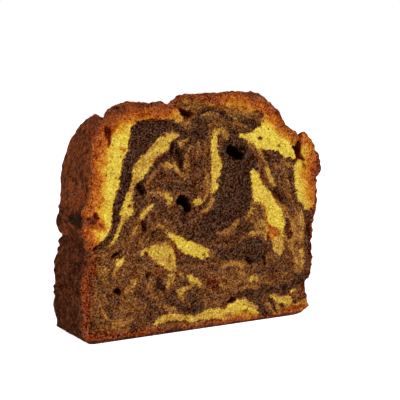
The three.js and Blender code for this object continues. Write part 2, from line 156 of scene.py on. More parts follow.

# Strokes of batter in the front cut, laid one over another, with some dark ones that
# paint shade in holes and gaps: how much cocoa, how soft the edge is, and then x, z
# and half width along the stroke, in millimetres from the middle of the base.
SWIRLS = [
    # broad grounds
    (0.46, 6.0, [(-40, 26, 8), (-32, 12, 11), (-20, 9, 7)]),
    (0.50, 5.0, [(-22, 37, 6), (-24, 26, 6), (-8, 22, 7)]),
    (0.47, 5.0, [(3, 18, 8), (16, 18, 7), (28, 18, 6)]),
    (0.28, 4.0, [(38, 44, 4), (42, 38, 6), (43, 28, 6), (43, 20, 4)]),
    (0.52, 4.0, [(30, 22, 4), (36, 22, 4)]),
    (0.50, 5.0, [(-18, 55, 6), (-8, 54, 6), (-2, 60, 6)]),
    (0.58, 4.0, [(-22, 49, 4), (-18, 43, 5), (-12, 42, 5)]),
    (0.47, 3.0, [(2, 76, 5), (12, 77, 5), (22, 76.6, 4)]),
    (0.44, 3.0, [(24, 40, 4), (26, 36, 3)]),
    (0.40, 2.4, [(-48, 3, 3), (-48, 14, 3.4), (-47, 24, 3.2), (-45.5, 31, 2.4)]),
    (0.34, 2.0, [(-46, 1, 3.0), (-26, 1, 2.4), (-8, 0, 2.2), (8, 0, 2.4)]),
    (0.20, 1.2, [(8, 0.6, 2.2), (22, 1.0, 2.4)]),
    (0.22, 1.2, [(33, 1.2, 1.6), (38, 1.6, 2.2)]),
    (0.17, 1.4, [(40, 1.6, 2.4), (46, 3.0, 2.8), (52, 3.4, 3)]),
    # plain batter of the left lobe
    (YELLOW, 0.5, [(-31, 79, 5), (-34, 73, 6.4), (-37, 66, 7.2), (-39, 60, 7.3), (-40.7, 54, 7.6),
                   (-42, 48, 6.6), (-42, 43, 6.5), (-43, 39, 6), (-45, 36.8, 2.2)]),
    (0.10, 0.8, [(-30, 80.5, 3.5), (-22, 80.6, 3.2), (-15, 80.2, 2.6), (-10.5, 78.3, 1.8),
                 (-8.8, 77.2, 0.9)]),
    # dark arch that runs down the left as a narrow band
    (COCOA, 0.45, [(-4.5, 71, 1), (-8, 72.7, 1.6), (-10.5, 74.1, 1.9), (-13, 75.4, 1.9),
                   (-17.3, 75.2, 2.7), (-21, 73.4, 4.2), (-24.3, 70.6, 4.1), (-26.2, 66.4, 3.4),
                   (-28.4, 63, 2.4), (-29.1, 60, 2.6), (-29.5, 57, 2.4), (-30.6, 54, 2.4),
                   (-31.7, 51, 2.3), (-32.9, 48, 1.9), (-33.5, 45, 1.6), (-33.9, 42, 1.5),
                   (-34.8, 40, 1.35), (-36, 38, 1.25), (-37.8, 35.9, 1.2), (-39.8, 34.3, 1.1),
                   (-42, 33.6, 0.9), (-43.8, 33.9, 0.4)]),
    (COCOA, 0.6, [(-25.6, 74.4, 2.2), (-23, 75, 2)]),
    # second pale band inside it
    (0.15, 0.4, [(-9.6, 71.6, 0.5), (-11.4, 71.4, 1.3), (-13.6, 70.2, 2.5), (-15.8, 68.6, 2.8),
                 (-18, 66.8, 2.5), (-20.2, 64.8, 2.3), (-22.4, 63, 2.6), (-24.3, 60.8, 2.6),
                 (-25.5, 58.2, 2.1), (-26.3, 55.8, 1.6)]),
    (0.22, 0.4, [(-26, 56, 1.5), (-27.3, 53.8, 1.3), (-28.3, 51, 1.6)]),
    (0.10, 0.4, [(-28.3, 51, 1.6), (-29.3, 48.5, 1.9), (-29.8, 46.2, 2.2), (-31, 43.7, 1.3)]),
    (0.24, 0.4, [(-31, 43.7, 1.3), (-32.4, 41, 0.8), (-33.6, 38.5, 0.75), (-34.8, 36, 0.8),
                 (-36.2, 34.2, 0.8)]),
    (0.50, 0.4, [(-14.9, 71.9, 0.5), (-14.4, 71.3, 0.5)]),
    (0.28, 0.6, [(-18.4, 69.3, 0.5), (-16.4, 68.9, 0.6), (-14.6, 68.3, 0.4)]),
    (0.30, 0.6, [(-42.5, 31.7, 0.5), (-40.6, 31.3, 0.8), (-38.6, 31.0, 0.8), (-37.6, 31.6, 0.5)]),
    # dark band inside the second pale one, and the deep pocket at its top, whose darkest
    # strokes are dark batter and painted shade in it, with a painted shadow on its upper edge
    (0.80, 0.5, [(-12.6, 65.2, 0.8), (-15, 64.3, 1.3), (-17.4, 63.2, 1.4), (-19.2, 61, 1.3),
                 (-20.6, 59, 1.2), (-22, 57.3, 1.1), (-23.8, 55.8, 0.9), (-25.4, 53.4, 1.0),
                 (-26.4, 50.8, 0.9), (-26.8, 48.4, 0.7)]),
    (0.86, 0.5, [(-10.8, 67.4, 1.3), (-9.6, 65.6, 1.9), (-8.9, 63.4, 1.7), (-8.8, 61.2, 1.1),
                 (-8.6, 59.6, 0.6)]),
    (0.96, 0.5, [(-11.8, 69, 0.7), (-12.1, 67.4, 0.9), (-12.3, 65.9, 0.6)]),
    (0.96, 0.4, [(-11.8, 69.4, 0.5), (-10.2, 70.3, 0.45), (-8.6, 70.8, 0.4), (-7, 70.6, 0.3)]),
    (0.90, 0.5, [(-7.4, 68.6, 0.5), (-6, 69.4, 0.6), (-4.8, 69.9, 0.5)]),
    # dark batter on a hollow, and painted shade in it
    (0.97, 0.6, [(-25.4, 54.4, 0.7), (-24.5, 53.4, 1.3), (-23.8, 51.9, 0.9)]),
    (0.16, 0.6, [(-9.0, 68.9, 0.7), (-7.8, 69.3, 1.0), (-6.4, 70.0, 0.5)]),
    # pale thread that loops round the left of the middle
    (0.36, 0.5, [(-22.4, 55.2, 0.4), (-20.6, 57, 0.5), (-19, 58.8, 0.6), (-17.4, 60.4, 0.6),
                 (-15.8, 61.4, 0.7)]),
    (0.24, 0.5, [(-15.6, 61.3, 0.7), (-14, 61.8, 1.0), (-12.6, 61.1, 0.8), (-11.4, 61.7, 0.9),
                 (-10.6, 60.4, 0.8), (-9.6, 58.6, 0.9), (-8.4, 57.6, 1.1), (-7.2, 56.2, 0.7)]),
    (0.40, 0.6, [(-15.4, 59.9, 0.7), (-13, 60.0, 0.7)]),
    (0.33, 0.5, [(-7.2, 56.6, 0.8), (-6.4, 59.2, 1.1), (-6.5, 61.8, 1.0), (-6.2, 64.2, 0.8),
                 (-5.4, 66.4, 0.7), (-4.6, 68, 0.4)]),
    (0.88, 0.5, [(-16.7, 60.1, 0.6), (-15.9, 59.7, 0.4)]),
    (0.86, 0.5, [(-19.9, 54.9, 0.5), (-19.2, 54.4, 0.6)]),
    (0.42, 0.8, [(-22.4, 54.6, 0.4), (-20, 53.2, 0.6)]),
    (0.72, 1.2, [(-13.4, 53.4, 1.0), (-9, 53, 1.7), (-5.4, 53.2, 1.6), (-3, 54, 1)]),
    (0.42, 0.8, [(-21.4, 51.6, 0.7), (-19, 51.8, 0.8), (-16.4, 51.7, 0.9), (-14.6, 51.2, 0.9)]),
    (0.20, 0.6, [(-14.2, 51, 0.8), (-13.5, 49.4, 1.2), (-13.6, 47.9, 0.8)]),
    (0.38, 0.7, [(-13.2, 47.2, 0.6), (-11.8, 46.6, 0.6), (-11.2, 48, 0.5)]),
    (0.80, 0.4, [(-16, 49, 0.3), (-14.8, 47.2, 0.4), (-12.8, 46.0, 0.4), (-10.6, 46, 0.4)]),
    (0.34, 0.6, [(-10.4, 49.9, 0.6), (-9, 49.9, 0.5)]),
    (0.84, 0.7, [(-5.6, 49.2, 0.8), (-3.4, 49.4, 0.9), (-2.2, 48.9, 0.5)]),
    # the large hole, dark with painted shade inside it, and its painted shadow below
    (0.93, 0.9, [(-9.8, 47.9, 1.1), (-8, 48.2, 1.6), (-6.6, 46.8, 1.5), (-5.8, 45.2, 1.4)]),
    (0.90, 1.6, [(-7.6, 44, 1.1), (-7.2, 42, 1.3), (-6.6, 40.6, 0.9)]),
    (0.16, 0.5, [(-3.8, 47, 0.9), (-2, 47.6, 1.2), (-0.5, 47.7, 0.8)]),
    (0.34, 0.4, [(-5.8, 47.3, 0.35), (-5.3, 47.1, 0.3)]),
    (0.72, 0.5, [(-4.6, 46, 0.4), (-2.6, 45.5, 0.5), (-0.6, 45.8, 0.5), (1.2, 47, 0.5), (2.6, 48.8, 0.4)]),
    (0.42, 0.7, [(-4, 44.3, 0.7), (-2.4, 44.6, 0.7)]),
    (0.42, 0.7, [(-4.4, 36.8, 0.7), (-3.2, 39, 0.7), (-2.2, 41, 0.6)]),
    # columns left of the middle
    (0.74, 1.0, [(-4.2, 62.2, 0.8), (-2.6, 61.4, 1.0)]),
    (0.58, 1.0, [(-4, 58, 1.1), (-3.4, 52.5, 1.2)]),
    (0.55, 0.9, [(0, 67, 0.6), (-0.4, 62, 0.8), (-0.6, 57, 1.0), (-0.4, 52, 1.2)]),
    (0.38, 0.7, [(-1.9, 68.8, 0.8), (-1.3, 66.6, 0.6), (-1.8, 64.4, 0.3)]),
    (0.46, 0.6, [(1.1, 70, 0.5), (1.2, 66.6, 0.5), (1.1, 63.4, 0.4)]),
    (0.50, 0.6, [(2.6, 69, 0.5), (2.3, 66, 0.6), (2.6, 60.4, 0.6)]),
    (0.86, 0.4, [(1.6, 63.2, 0.4), (2.2, 62.5, 0.5)]),
    (0.30, 0.6, [(1.9, 59, 0.6), (2.2, 56.4, 0.9), (2.5, 53.4, 0.9), (2.1, 50.8, 0.6), (1.1, 48.8, 0.6),
                 (0.8, 47.8, 0.4)]),
    (0.60, 0.5, [(3.2, 60, 0.4), (3.4, 56.5, 0.35), (3.3, 52.5, 0.35)]),
    # dark tongue through the middle
    (COCOA, 0.6, [(12.6, 72, 1.8), (13.4, 69, 4.4), (14.6, 66, 6.2), (15.9, 62.5, 7.2),
                  (16.1, 59.4, 7.5), (14.1, 55.6, 6.6), (13.9, 51.5, 7), (13.4, 47.6, 7.7),
                  (12.3, 44, 7.6), (9.4, 41.6, 4.6), (4.6, 40, 3.8), (1.5, 37.4, 3.6),
                  (-1.5, 35.4, 2.4)]),
    (0.80, 1.2, [(-6.4, 35.4, 1.0), (-2, 36, 2.8), (3, 34.6, 2.6), (6.4, 37.6, 2.2)]),
    (0.93, 1.0, [(3.6, 42.4, 1.3), (7.3, 42.2, 1.3)]),
    (0.93, 1.0, [(17.5, 53, 1.6), (18.6, 48.5, 1.5), (17.5, 45.5, 1.3)]),
    # the hole in the tongue, darker with painted shade inside it
    (0.93, 0.8, [(11, 66.4, 1.2), (14.2, 65, 2.6), (16.4, 63.8, 1.8)]),
    # pale streak down the middle, its hook and the bits at its top
    (0.24, 0.5, [(3.2, 71.1, 0.6), (4.6, 72.4, 0.8), (6.3, 73.4, 0.8), (7.8, 73.9, 0.5)]),
    (0.11, 0.4, [(6.2, 72.4, 0.6), (5.0, 70, 1.2), (4.8, 67.8, 1.5), (5.3, 65, 1.6),
                 (6, 62.5, 2.1), (6.1, 60.6, 2.3), (5.5, 58, 1.8), (5.7, 55.9, 1.8),
                 (5.2, 53.3, 1.6), (4.7, 51, 1.0)]),
    (0.60, 0.4, [(6.1, 55, 0.5), (7, 54.8, 0.4)]),
    (0.30, 0.5, [(4.5, 49.8, 0.5), (4.4, 48.2, 0.9), (3.5, 46.6, 1.1), (2.2, 45.1, 1.0), (0.8, 44, 0.8),
                 (-0.6, 43.6, 0.4)]),
    (0.26, 0.5, [(8.4, 73.2, 0.7), (9.6, 72, 1), (10.6, 70.2, 0.7)]),
    # folds under the dome
    (0.78, 1.0, [(-3.2, 76.6, 0.9), (-0.8, 77, 1.3), (0.8, 75.6, 1.1)]),
    (0.80, 1.8, [(-3.6, 71.4, 1.0), (-1.4, 72.4, 1.8), (1.0, 73.6, 1.4)]),
    (0.97, 1.0, [(-4.4, 73.6, 0.9), (-2.6, 72.5, 1.6), (-1.4, 70.8, 1.0)]),
    (0.93, 0.35, [(-4.2, 75.6, 0.5), (-3.2, 77.6, 0.6), (-1.6, 79.4, 0.7), (0.6, 80.4, 0.6),
                  (3.6, 80.6, 0.6), (6.6, 80.2, 0.6), (9.4, 79, 0.75), (12, 77.7, 0.8),
                  (15, 77.1, 0.8), (19.5, 76.6, 0.8)]),
    (0.26, 0.4, [(0.4, 79, 0.35), (2.6, 79.5, 0.6), (5, 79.8, 0.5), (6.9, 79.4, 0.35)]),
    (0.32, 0.6, [(-5.4, 76.4, 0.5), (-4.2, 79, 0.6), (-2.4, 81.2, 0.7), (0.6, 82.2, 0.6),
                 (5.6, 81.9, 0.7), (9.6, 80.7, 0.6), (13.2, 79.9, 0.9), (16.4, 78.9, 0.5)]),
    (0.40, 0.7, [(5.6, 76.2, 0.8), (7.6, 76.8, 1.1), (9.6, 75.8, 0.7)]),
    (0.30, 0.4, [(9.6, 80.1, 0.4), (11.6, 79.3, 0.5), (13.4, 78.3, 0.5), (14.4, 77.6, 0.4)]),
    (0.30, 0.4, [(13, 76.3, 0.5), (15, 76.3, 0.6), (17.2, 75.6, 0.4)]),
    (0.42, 0.6, [(13.6, 74.4, 0.6), (17, 74.5, 0.8), (19.2, 73.9, 0.5)]),
    (0.84, 0.6, [(19.4, 77, 0.9), (21, 75.6, 1.3), (23, 75, 1.3), (24.4, 73.6, 0.7)]),
    (0.84, 0.4, [(15.4, 72.8, 0.4), (19.6, 72.8, 0.5), (23, 73, 0.4)]),
    (0.36, 0.6, [(15.4, 79.4, 0.7), (18.6, 79.2, 0.9), (21.8, 79.2, 0.8), (23.6, 78.6, 0.6)]),
    (0.88, 0.4, [(16.2, 77.8, 0.3), (16.8, 77.2, 0.5)]),
    (0.62, 0.8, [(25, 78, 0.9), (27, 77, 0.9), (27.6, 76, 0.6)]),
    (0.40, 0.5, [(-4.3, 73.6, 0.4), (-4.4, 75.6, 0.5), (-4.1, 77.4, 0.6), (-2.8, 78.6, 0.5),
                 (-1.9, 80.2, 0.5), (-0.9, 81.4, 0.6)]),
    (0.32, 0.6, [(-8.4, 77, 0.5), (-7.2, 75.8, 0.7), (-6.2, 74, 0.6), (-5.4, 72.4, 0.3)]),
    # batter under the crust of the dome
    (0.32, 1.6, [(-13, 84.6, 2.2), (-6, 85.4, 2.6), (0, 85.2, 2.6), (5.5, 84.6, 2.6)]),
    (0.13, 2.0, [(8.4, 84.8, 2.4), (12.5, 84.4, 3.0), (17.5, 84, 3.8), (22.2, 82.8, 3.6),
                 (26, 81.6, 3.4), (29, 79, 3)]),
    (0.46, 1.0, [(22, 79.8, 0.6), (24.6, 79.4, 1.0), (27.4, 77.4, 1.2)]),
    (0.28, 0.8, [(-7.4, 83.2, 0.9), (-5.6, 84.8, 1.2), (-4.4, 82.8, 1.0)]),
    (0.22, 0.6, [(-10.8, 81.3, 0.8), (-10, 80.2, 0.6)]),
    (0.38, 1.0, [(-9.6, 82, 0.8), (-6, 81.9, 0.8), (-3.4, 81.4, 0.6)]),
    (0.86, 0.6, [(-13.6, 82, 0.6), (-12.2, 81.9, 0.6)]),
    # pale leaf at the upper right, out to the crust
    (YELLOW, 0.5, [(16.2, 71.2, 0.7), (19.5, 70.5, 1.6), (23, 70, 2.8), (27, 70.4, 4.8), (31.4, 70, 5),
                   (36, 67.6, 5), (39, 65.3, 3.6), (41.2, 63.2, 1.6)]),
    (YELLOW, 0.8, [(26.4, 75, 1.6), (30, 76, 3.5), (35.4, 73, 4.5), (40, 70, 3)]),
    (0.34, 0.5, [(24.5, 78.2, 0.6), (25.4, 76.6, 0.7)]),
    (0.50, 0.4, [(24.2, 70, 0.5), (25.2, 70.2, 0.6)]),
    (0.66, 0.4, [(33, 67.2, 0.3), (33.8, 67.0, 0.4)]),
    (0.80, 0.4, [(25.8, 65.2, 0.4), (28.4, 65.4, 0.5), (31.4, 64.8, 0.6), (34, 63.2, 0.6), (36.4, 62, 0.5),
                 (39, 61.5, 0.4), (42.6, 61, 0.35)]),
    (0.36, 0.5, [(19.2, 68.6, 0.5), (20.8, 66.8, 0.7), (22.4, 65, 0.7), (24, 63, 0.6), (25.2, 61, 0.5)]),
    (0.28, 0.5, [(22.4, 67.2, 0.5), (24.6, 65.2, 0.7), (26.4, 63, 0.8), (27.8, 61, 0.7), (28.6, 59, 0.5)]),
    (0.36, 0.6, [(24.2, 60.4, 0.7), (25, 58.8, 0.8)]),
    # torn gap between the leaf and the crust: its dark strokes are painted shade in the gap
    (0.86, 0.4, [(42.6, 68.4, 0.4), (42.4, 67.0, 0.8), (42.0, 65.4, 1.3), (42.3, 63.8, 0.9),
                 (42.8, 62.6, 0.6)]),
    (0.86, 0.4, [(39.6, 66.6, 0.3), (40.6, 65.9, 0.5), (41.4, 65.4, 0.7)]),
    (0.84, 0.4, [(43.2, 62.8, 0.5), (44.4, 62.2, 0.4), (45.4, 61.4, 0.4)]),
    (0.74, 0.4, [(44.8, 60.1, 0.2), (45.8, 59.2, 0.3), (46.6, 58.6, 0.2)]),
    # brown stroke down the right, dark at its outer edge
    (0.48, 0.8, [(27.4, 64.2, 0.8), (30, 62.4, 1.8), (33, 60, 2.4), (35.4, 57.4, 2.8),
                 (36.6, 53.5, 3.0), (37.2, 49, 3.0), (38.6, 45, 2.8), (41.4, 41.5, 2.6)]),
    (0.74, 0.7, [(27.6, 64, 1.1), (29.6, 62.2, 1.5), (32.6, 61.6, 1.2), (34, 60.2, 0.8)]),
    (0.44, 0.8, [(34.4, 53.6, 0.9), (35.6, 52.4, 0.8), (36.6, 49.6, 1.3), (39, 47.6, 1.2),
                 (38.4, 43.4, 1.4)]),
    (0.32, 0.5, [(37.6, 53.6, 0.4), (38.2, 52.2, 0.6)]),
    (0.80, 0.5, [(38.8, 58.8, 0.7), (39.3, 56, 0.8), (39.2, 53.8, 0.8), (39.7, 51.6, 0.7),
                 (40.7, 49.4, 0.6), (41, 47.4, 0.5), (41.8, 45.4, 0.6), (43.6, 43.6, 0.7),
                 (45.4, 41.8, 0.8), (46.8, 39.6, 0.9)]),
    (0.28, 0.6, [(34.6, 61.3, 0.5), (37, 60.3, 0.8), (39.2, 59.4, 0.9), (40.4, 58, 0.9)]),
    # pale stroke at the far right, out to the crust
    (0.08, 0.45, [(46, 69, 3.0), (46.4, 65, 3.6), (46.6, 61, 4.4), (45.2, 58.2, 4.4), (45.4, 54, 4.8),
                  (46, 50.5, 4.6), (46.6, 47.4, 4.0), (47.4, 44.8, 2.8), (48.8, 42, 1.8)]),
    # broad pale stroke right of the tongue
    (0.06, 0.45, [(22.5, 57, 1.6), (23.3, 54.3, 2.5), (24.7, 51, 3.1), (25.9, 48.6, 3.9),
                  (28.5, 46, 3.1), (30.4, 43.5, 3.2), (31.6, 41, 3.6), (32.6, 38.5, 3.4),
                  (33.4, 36, 2.8), (34.0, 33, 2.0)]),
    (0.15, 0.7, [(29.6, 36.2, 1.4), (31.2, 34, 2.2), (32.6, 31.6, 2.4)]),
    (0.18, 0.8, [(34.4, 33, 1.6), (33.6, 30, 2.6), (33.4, 28.4, 2.6), (34.6, 26.8, 1.8)]),
    (0.22, 0.5, [(27.4, 58.8, 0.8), (28.6, 57.4, 1.1), (28.8, 55.4, 0.9)]),
    (0.22, 0.5, [(29.6, 54.4, 0.8), (30.8, 53.2, 1.1), (31.4, 51.8, 0.7)]),
    (0.44, 0.5, [(25, 58, 0.6), (25.7, 56.2, 0.8), (26.4, 54.4, 0.5), (27.6, 52.2, 0.4),
                 (29.2, 49.8, 0.35)]),
    (0.82, 0.5, [(33.7, 57.4, 0.5), (33.3, 55, 0.6), (33.1, 52.8, 0.5)]),
    # a shallow bubble, its shading painted: olive below, dark on its upper wall as painted shade
    (0.40, 0.9, [(30.8, 49, 0.8), (32, 47.8, 1.1), (33.8, 46, 0.9)]),
    (0.80, 0.8, [(31.4, 51, 0.6), (33.4, 50.4, 0.9), (34.8, 49, 0.9), (35.6, 47.2, 1.0), (36.8, 45.6, 0.9),
                 (37.2, 44, 0.5)]),
    (0.30, 0.7, [(23.4, 45.8, 0.8), (26, 44.8, 0.8), (27, 42.6, 0.8)]),
    (0.22, 0.5, [(22.2, 44, 0.9), (21.2, 42.6, 0.9), (19.8, 41.2, 0.7), (18.7, 40, 0.4)]),
    (0.76, 0.6, [(22.2, 44.6, 0.5), (24, 43.8, 0.6)]),
    (0.56, 0.8, [(24.6, 42.4, 1.2), (26, 39.6, 1.3)]),
    (0.34, 0.6, [(23.8, 39.8, 0.6), (24.4, 38.6, 0.7)]),
    (0.70, 1.0, [(17, 38.4, 1.4), (18.4, 36, 1.5), (21.6, 36.4, 1.5)]),
    (0.28, 0.9, [(25.4, 37.4, 0.9), (26.6, 36.6, 1.0), (27.8, 38.6, 0.8), (28, 35, 1.3), (26.8, 33.4, 1.0),
                 (28.4, 31.8, 1.0)]),
    (0.07, 0.5, [(29.2, 37.0, 0.8), (30.4, 35, 1.4), (31.4, 33.6, 2.1), (31.0, 31.8, 1.4)]),
    (0.78, 0.6, [(37, 38, 0.6), (37.6, 36.4, 1.1), (38, 34.4, 1.0)]),
    (0.66, 0.7, [(37.6, 34, 1.2), (38.8, 32.8, 1.3), (39, 31.2, 0.7)]),
    (0.30, 0.6, [(36.4, 40.4, 0.6), (37, 41.8, 0.5)]),
    (0.36, 0.9, [(41.2, 42.4, 0.7), (42, 39.6, 1.0), (41.8, 37.4, 0.8)]),
    (0.30, 0.6, [(41.4, 30.6, 0.5), (42.2, 31.0, 0.7), (43.4, 31.8, 0.6)]),
    (0.78, 0.8, [(47.6, 40.6, 0.8), (46.8, 39.4, 1.2), (47.2, 37.4, 1.3)]),
    (0.30, 0.8, [(44.2, 39.6, 0.7), (43.4, 38.2, 0.8)]),
    (0.58, 1.2, [(50, 41.4, 1.0), (48.6, 39.6, 1.6), (48.2, 37.6, 1.8)]),
    (0.56, 2.4, [(47.6, 34.4, 1.6), (47.4, 30, 2.2), (47.6, 26, 2.0), (47.8, 22, 1.2), (46.8, 16.5, 1.6)]),
    (0.56, 1.2, [(43.2, 35.4, 0.6), (44.4, 33.6, 0.8)]),
    (0.52, 1.2, [(41.6, 28.4, 0.8), (44, 27.2, 0.8), (45.6, 28.4, 0.6)]),
    (0.28, 0.6, [(45.4, 24.6, 0.4), (45.2, 22.4, 0.6)]),
    # streaks low in the middle
    (0.36, 0.8, [(-18, 40, 1.0), (-16.4, 39, 1.2), (-14.6, 37.6, 0.9)]),
    (0.22, 0.6, [(-14.4, 36.9, 0.6), (-12.6, 36.2, 1.0)]),
    (0.08, 0.45, [(-12.6, 35.8, 1.0), (-10.6, 34.4, 1.5), (-8.3, 32.4, 2.1), (-6, 31, 2.5),
                  (-3.3, 29.8, 2.4), (-0.7, 28.9, 2.1), (1.5, 28.3, 1.6), (3.9, 28, 0.7)]),
    (0.40, 0.6, [(3.6, 28, 0.8), (5.6, 28, 0.5)]),
    (0.17, 0.5, [(-24.6, 30.2, 0.5), (-21.8, 31.0, 1.7), (-18.2, 30.1, 3.0), (-15.2, 28.8, 3.7),
                 (-13.8, 26.4, 2.7), (-12.2, 24.6, 1.6), (-10.9, 23, 0.5)]),
    (0.16, 0.5, [(-19, 31.6, 1.2), (-16.4, 31.8, 1.2), (-13.6, 32.2, 1.1), (-12.4, 31.6, 0.6)]),
    (0.34, 0.6, [(-16.2, 33.6, 0.4), (-15.8, 32.6, 0.4)]),
    (0.30, 0.7, [(-13.2, 28.6, 0.7), (-13.6, 26.4, 0.6)]),
    (0.40, 0.6, [(-21.4, 28.6, 0.5), (-19.6, 27.4, 0.4), (-17.6, 27.4, 0.3)]),
    (0.46, 0.5, [(-13, 33.6, 0.8), (-11.8, 32.2, 0.8), (-10.9, 30.4, 0.7), (-10.4, 28.4, 0.65),
                 (-10.1, 26, 0.6)]),
    (0.62, 0.4, [(0.8, 28, 0.4), (1.3, 27.6, 0.3)]),
    (0.72, 0.6, [(-9.6, 25.4, 0.7), (-7, 26.6, 0.4), (-2.6, 26.0, 0.5), (3, 26.0, 0.5)]),
    (0.30, 0.9, [(-12.4, 21.6, 0.9), (-13, 19.6, 1.2), (-13.9, 17.4, 0.9)]),
    (0.32, 0.9, [(-9.8, 21.6, 0.8), (-8.6, 20.2, 1.0), (-8.2, 18.8, 0.6)]),
    (0.18, 0.7, [(-5.2, 20.6, 0.9), (-4.3, 19.1, 1.3), (-2.9, 17.6, 1.3), (-1.4, 16.9, 1.0)]),
    (0.20, 0.7, [(-3.2, 16.2, 0.8), (-6, 15.8, 0.9), (-8.4, 15.0, 1.3), (-9.0, 13.8, 1.3),
                 (-8.2, 12.5, 0.8)]),
    (0.40, 0.9, [(-18, 10.5, 1.0), (-16.4, 9.8, 1.1), (-14.6, 9.5, 0.9)]),
    (0.30, 0.5, [(-13.6, 8.1, 0.3), (-12.4, 8.9, 0.4), (-11.0, 8.5, 0.4), (-10.3, 7.8, 0.3)]),
    (0.40, 0.7, [(-0.8, 14.4, 0.6), (0.4, 13.8, 0.6)]),
    (0.16, 0.7, [(-34.2, 28.7, 0.8), (-33, 27.8, 1.3), (-32.0, 28.8, 0.8)]),
    (0.34, 0.7, [(-33.4, 26.2, 0.6), (-34.6, 24.5, 0.7), (-35.5, 23.4, 0.7)]),
    (0.25, 0.7, [(-31, 16.6, 0.4), (-29.5, 17.9, 0.9), (-28.2, 19.2, 1), (-27.2, 20.4, 0.9),
                 (-26, 21.6, 0.5)]),
    (0.34, 0.8, [(-20.8, 20.2, 0.7), (-21.3, 18.4, 0.8), (-20.2, 17.6, 0.6)]),
    (0.36, 0.6, [(-38.2, 14, 0.5), (-37.4, 13.5, 0.5)]),
    (0.36, 1.0, [(-40, 16.4, 1.0), (-39, 15, 0.8)]),
    (0.34, 0.9, [(-39, 9.2, 0.9), (-37.6, 9.6, 0.7)]),
    (0.36, 1.0, [(-41.6, 26.4, 1.2), (-38.6, 25.4, 1.2), (-37.4, 28, 1.0)]),
    (0.38, 1.0, [(-25.4, 14.2, 0.7), (-24, 13.2, 0.8), (-22, 11.4, 0.8)]),
    (0.36, 1.0, [(-36, 6.6, 0.8), (-33, 5.4, 1.0), (-28, 7, 0.8)]),
    (0.20, 0.5, [(-24.4, 43.7, 0.9), (-22.8, 45, 1.2), (-21.2, 46.4, 1.0), (-19.9, 47.4, 0.5)]),
    (0.34, 0.6, [(-25.2, 46.4, 0.4), (-24.6, 46.2, 0.4)]),
    (0.38, 0.8, [(-24.8, 41.8, 0.8), (-26.2, 39.4, 0.9), (-26.6, 37.8, 0.6)]),
    (0.40, 0.8, [(-20.6, 39.2, 0.8), (-18.4, 40.4, 0.9)]),
    # dark blots; those on hollows are painted shade in them as well as dark batter
    (0.92, 0.6, [(-24, 42, 0.5), (-23.4, 40.6, 0.8), (-22.8, 38.8, 0.9)]),
    (0.78, 0.9, [(-21.4, 37, 1.0), (-19, 36.4, 1)]),
    (0.80, 0.5, [(-22.4, 34, 0.5), (-20.6, 34.5, 0.5)]),
    (0.82, 0.8, [(-25.4, 28.4, 0.7), (-24.4, 27.4, 0.8)]),
    (0.90, 0.9, [(-17.6, 20, 1.2), (-17.6, 18.2, 1.9), (-16.4, 17, 1.1)]),
    (0.93, 0.5, [(-22.5, 22.6, 0.4), (-22.2, 21.8, 0.6)]),
    (0.76, 0.8, [(-24.6, 16.6, 0.9), (-23.8, 15.2, 0.9)]),
    (0.82, 0.8, [(-28.4, 4.2, 1.1), (-26.8, 3.6, 1.2)]),
    (0.80, 0.6, [(-36.4, 22.4, 0.5), (-35.8, 21.7, 0.6)]),
    (0.74, 0.8, [(-36.8, 11.6, 0.7), (-36.2, 8, 0.6)]),
    (0.88, 0.8, [(-14.4, 11, 0.8), (-12, 10.6, 1.0), (-9.8, 9.9, 1.2), (-7.6, 8.2, 1.3), (-5.2, 7.2, 1.2),
                 (-2.8, 7.2, 1.4), (-0.8, 8.2, 1.2)]),
    (0.86, 0.8, [(-5.4, 13.3, 1.0), (-4, 12, 1.3), (-3.4, 10, 1.4)]),
    (0.70, 0.8, [(-1.6, 12, 1.2), (-0.6, 9.8, 1.1)]),
    (0.82, 0.8, [(5.8, 29.0, 0.8), (9, 27.2, 1.9), (13, 27.4, 2.6), (17, 28, 3.4), (20.6, 28.4, 3.8),
                 (24, 27.6, 3.6), (26.6, 25.2, 2.2)]),
    (0.95, 0.9, [(19.4, 24.2, 1), (22.2, 23.8, 1.4), (25.2, 24.4, 1.1)]),
    (0.86, 0.8, [(15.4, 10.4, 0.6), (18, 10.6, 1.2), (21, 10.8, 1.6), (24.4, 10.4, 1.5), (28, 11.2, 1.7),
                 (32, 11.2, 1.4), (35, 11.2, 1.8), (37.4, 10.8, 1.9), (39.6, 11.8, 1.2), (43, 13.4, 1.6),
                 (45.4, 14, 1.4)]),
    (0.80, 0.7, [(25.6, 13.2, 0.6), (28.2, 12.8, 0.8)]),
    (0.95, 0.8, [(35.6, 11.9, 0.9), (36.8, 10.8, 1.0)]),
    # light swirl under the tongue
    (0.22, 0.6, [(15.2, 39.4, 0.9), (14.2, 38.2, 1.3), (12.6, 37.2, 1.1)]),
    (0.36, 0.6, [(13, 36.6, 1.2), (11, 35.8, 1.2), (9.4, 35.2, 0.9), (7, 35.6, 0.4)]),
    (0.84, 0.6, [(5.8, 34, 0.7), (6.8, 33.6, 0.5)]),
    (0.60, 0.8, [(8.4, 33.2, 0.7), (11.6, 32.8, 0.9), (15, 33.4, 0.8)]),
    (0.44, 0.7, [(4.4, 31.6, 0.4), (6.6, 30.6, 0.6), (10, 30.3, 0.8), (13.6, 30.7, 0.9), (17, 31.6, 0.9),
                 (20, 33.2, 1.0)]),
    (0.24, 0.7, [(20.4, 34.2, 0.7), (22.6, 33.9, 1.0), (24.6, 33.9, 0.9)]),
    # patches low on the right
    (0.31, 1.1, [(8.6, 22.2, 0.7), (11.4, 23.1, 0.9), (14.4, 22.8, 1.0), (17.2, 21.4, 0.9)]),
    (0.34, 0.9, [(9.8, 20, 0.6), (13.4, 20.6, 0.6), (16.6, 19.6, 0.7), (18.6, 17.8, 0.6)]),
    (0.31, 0.8, [(7.2, 17.2, 0.7), (8.4, 15.6, 0.9), (9.4, 14, 0.9)]),
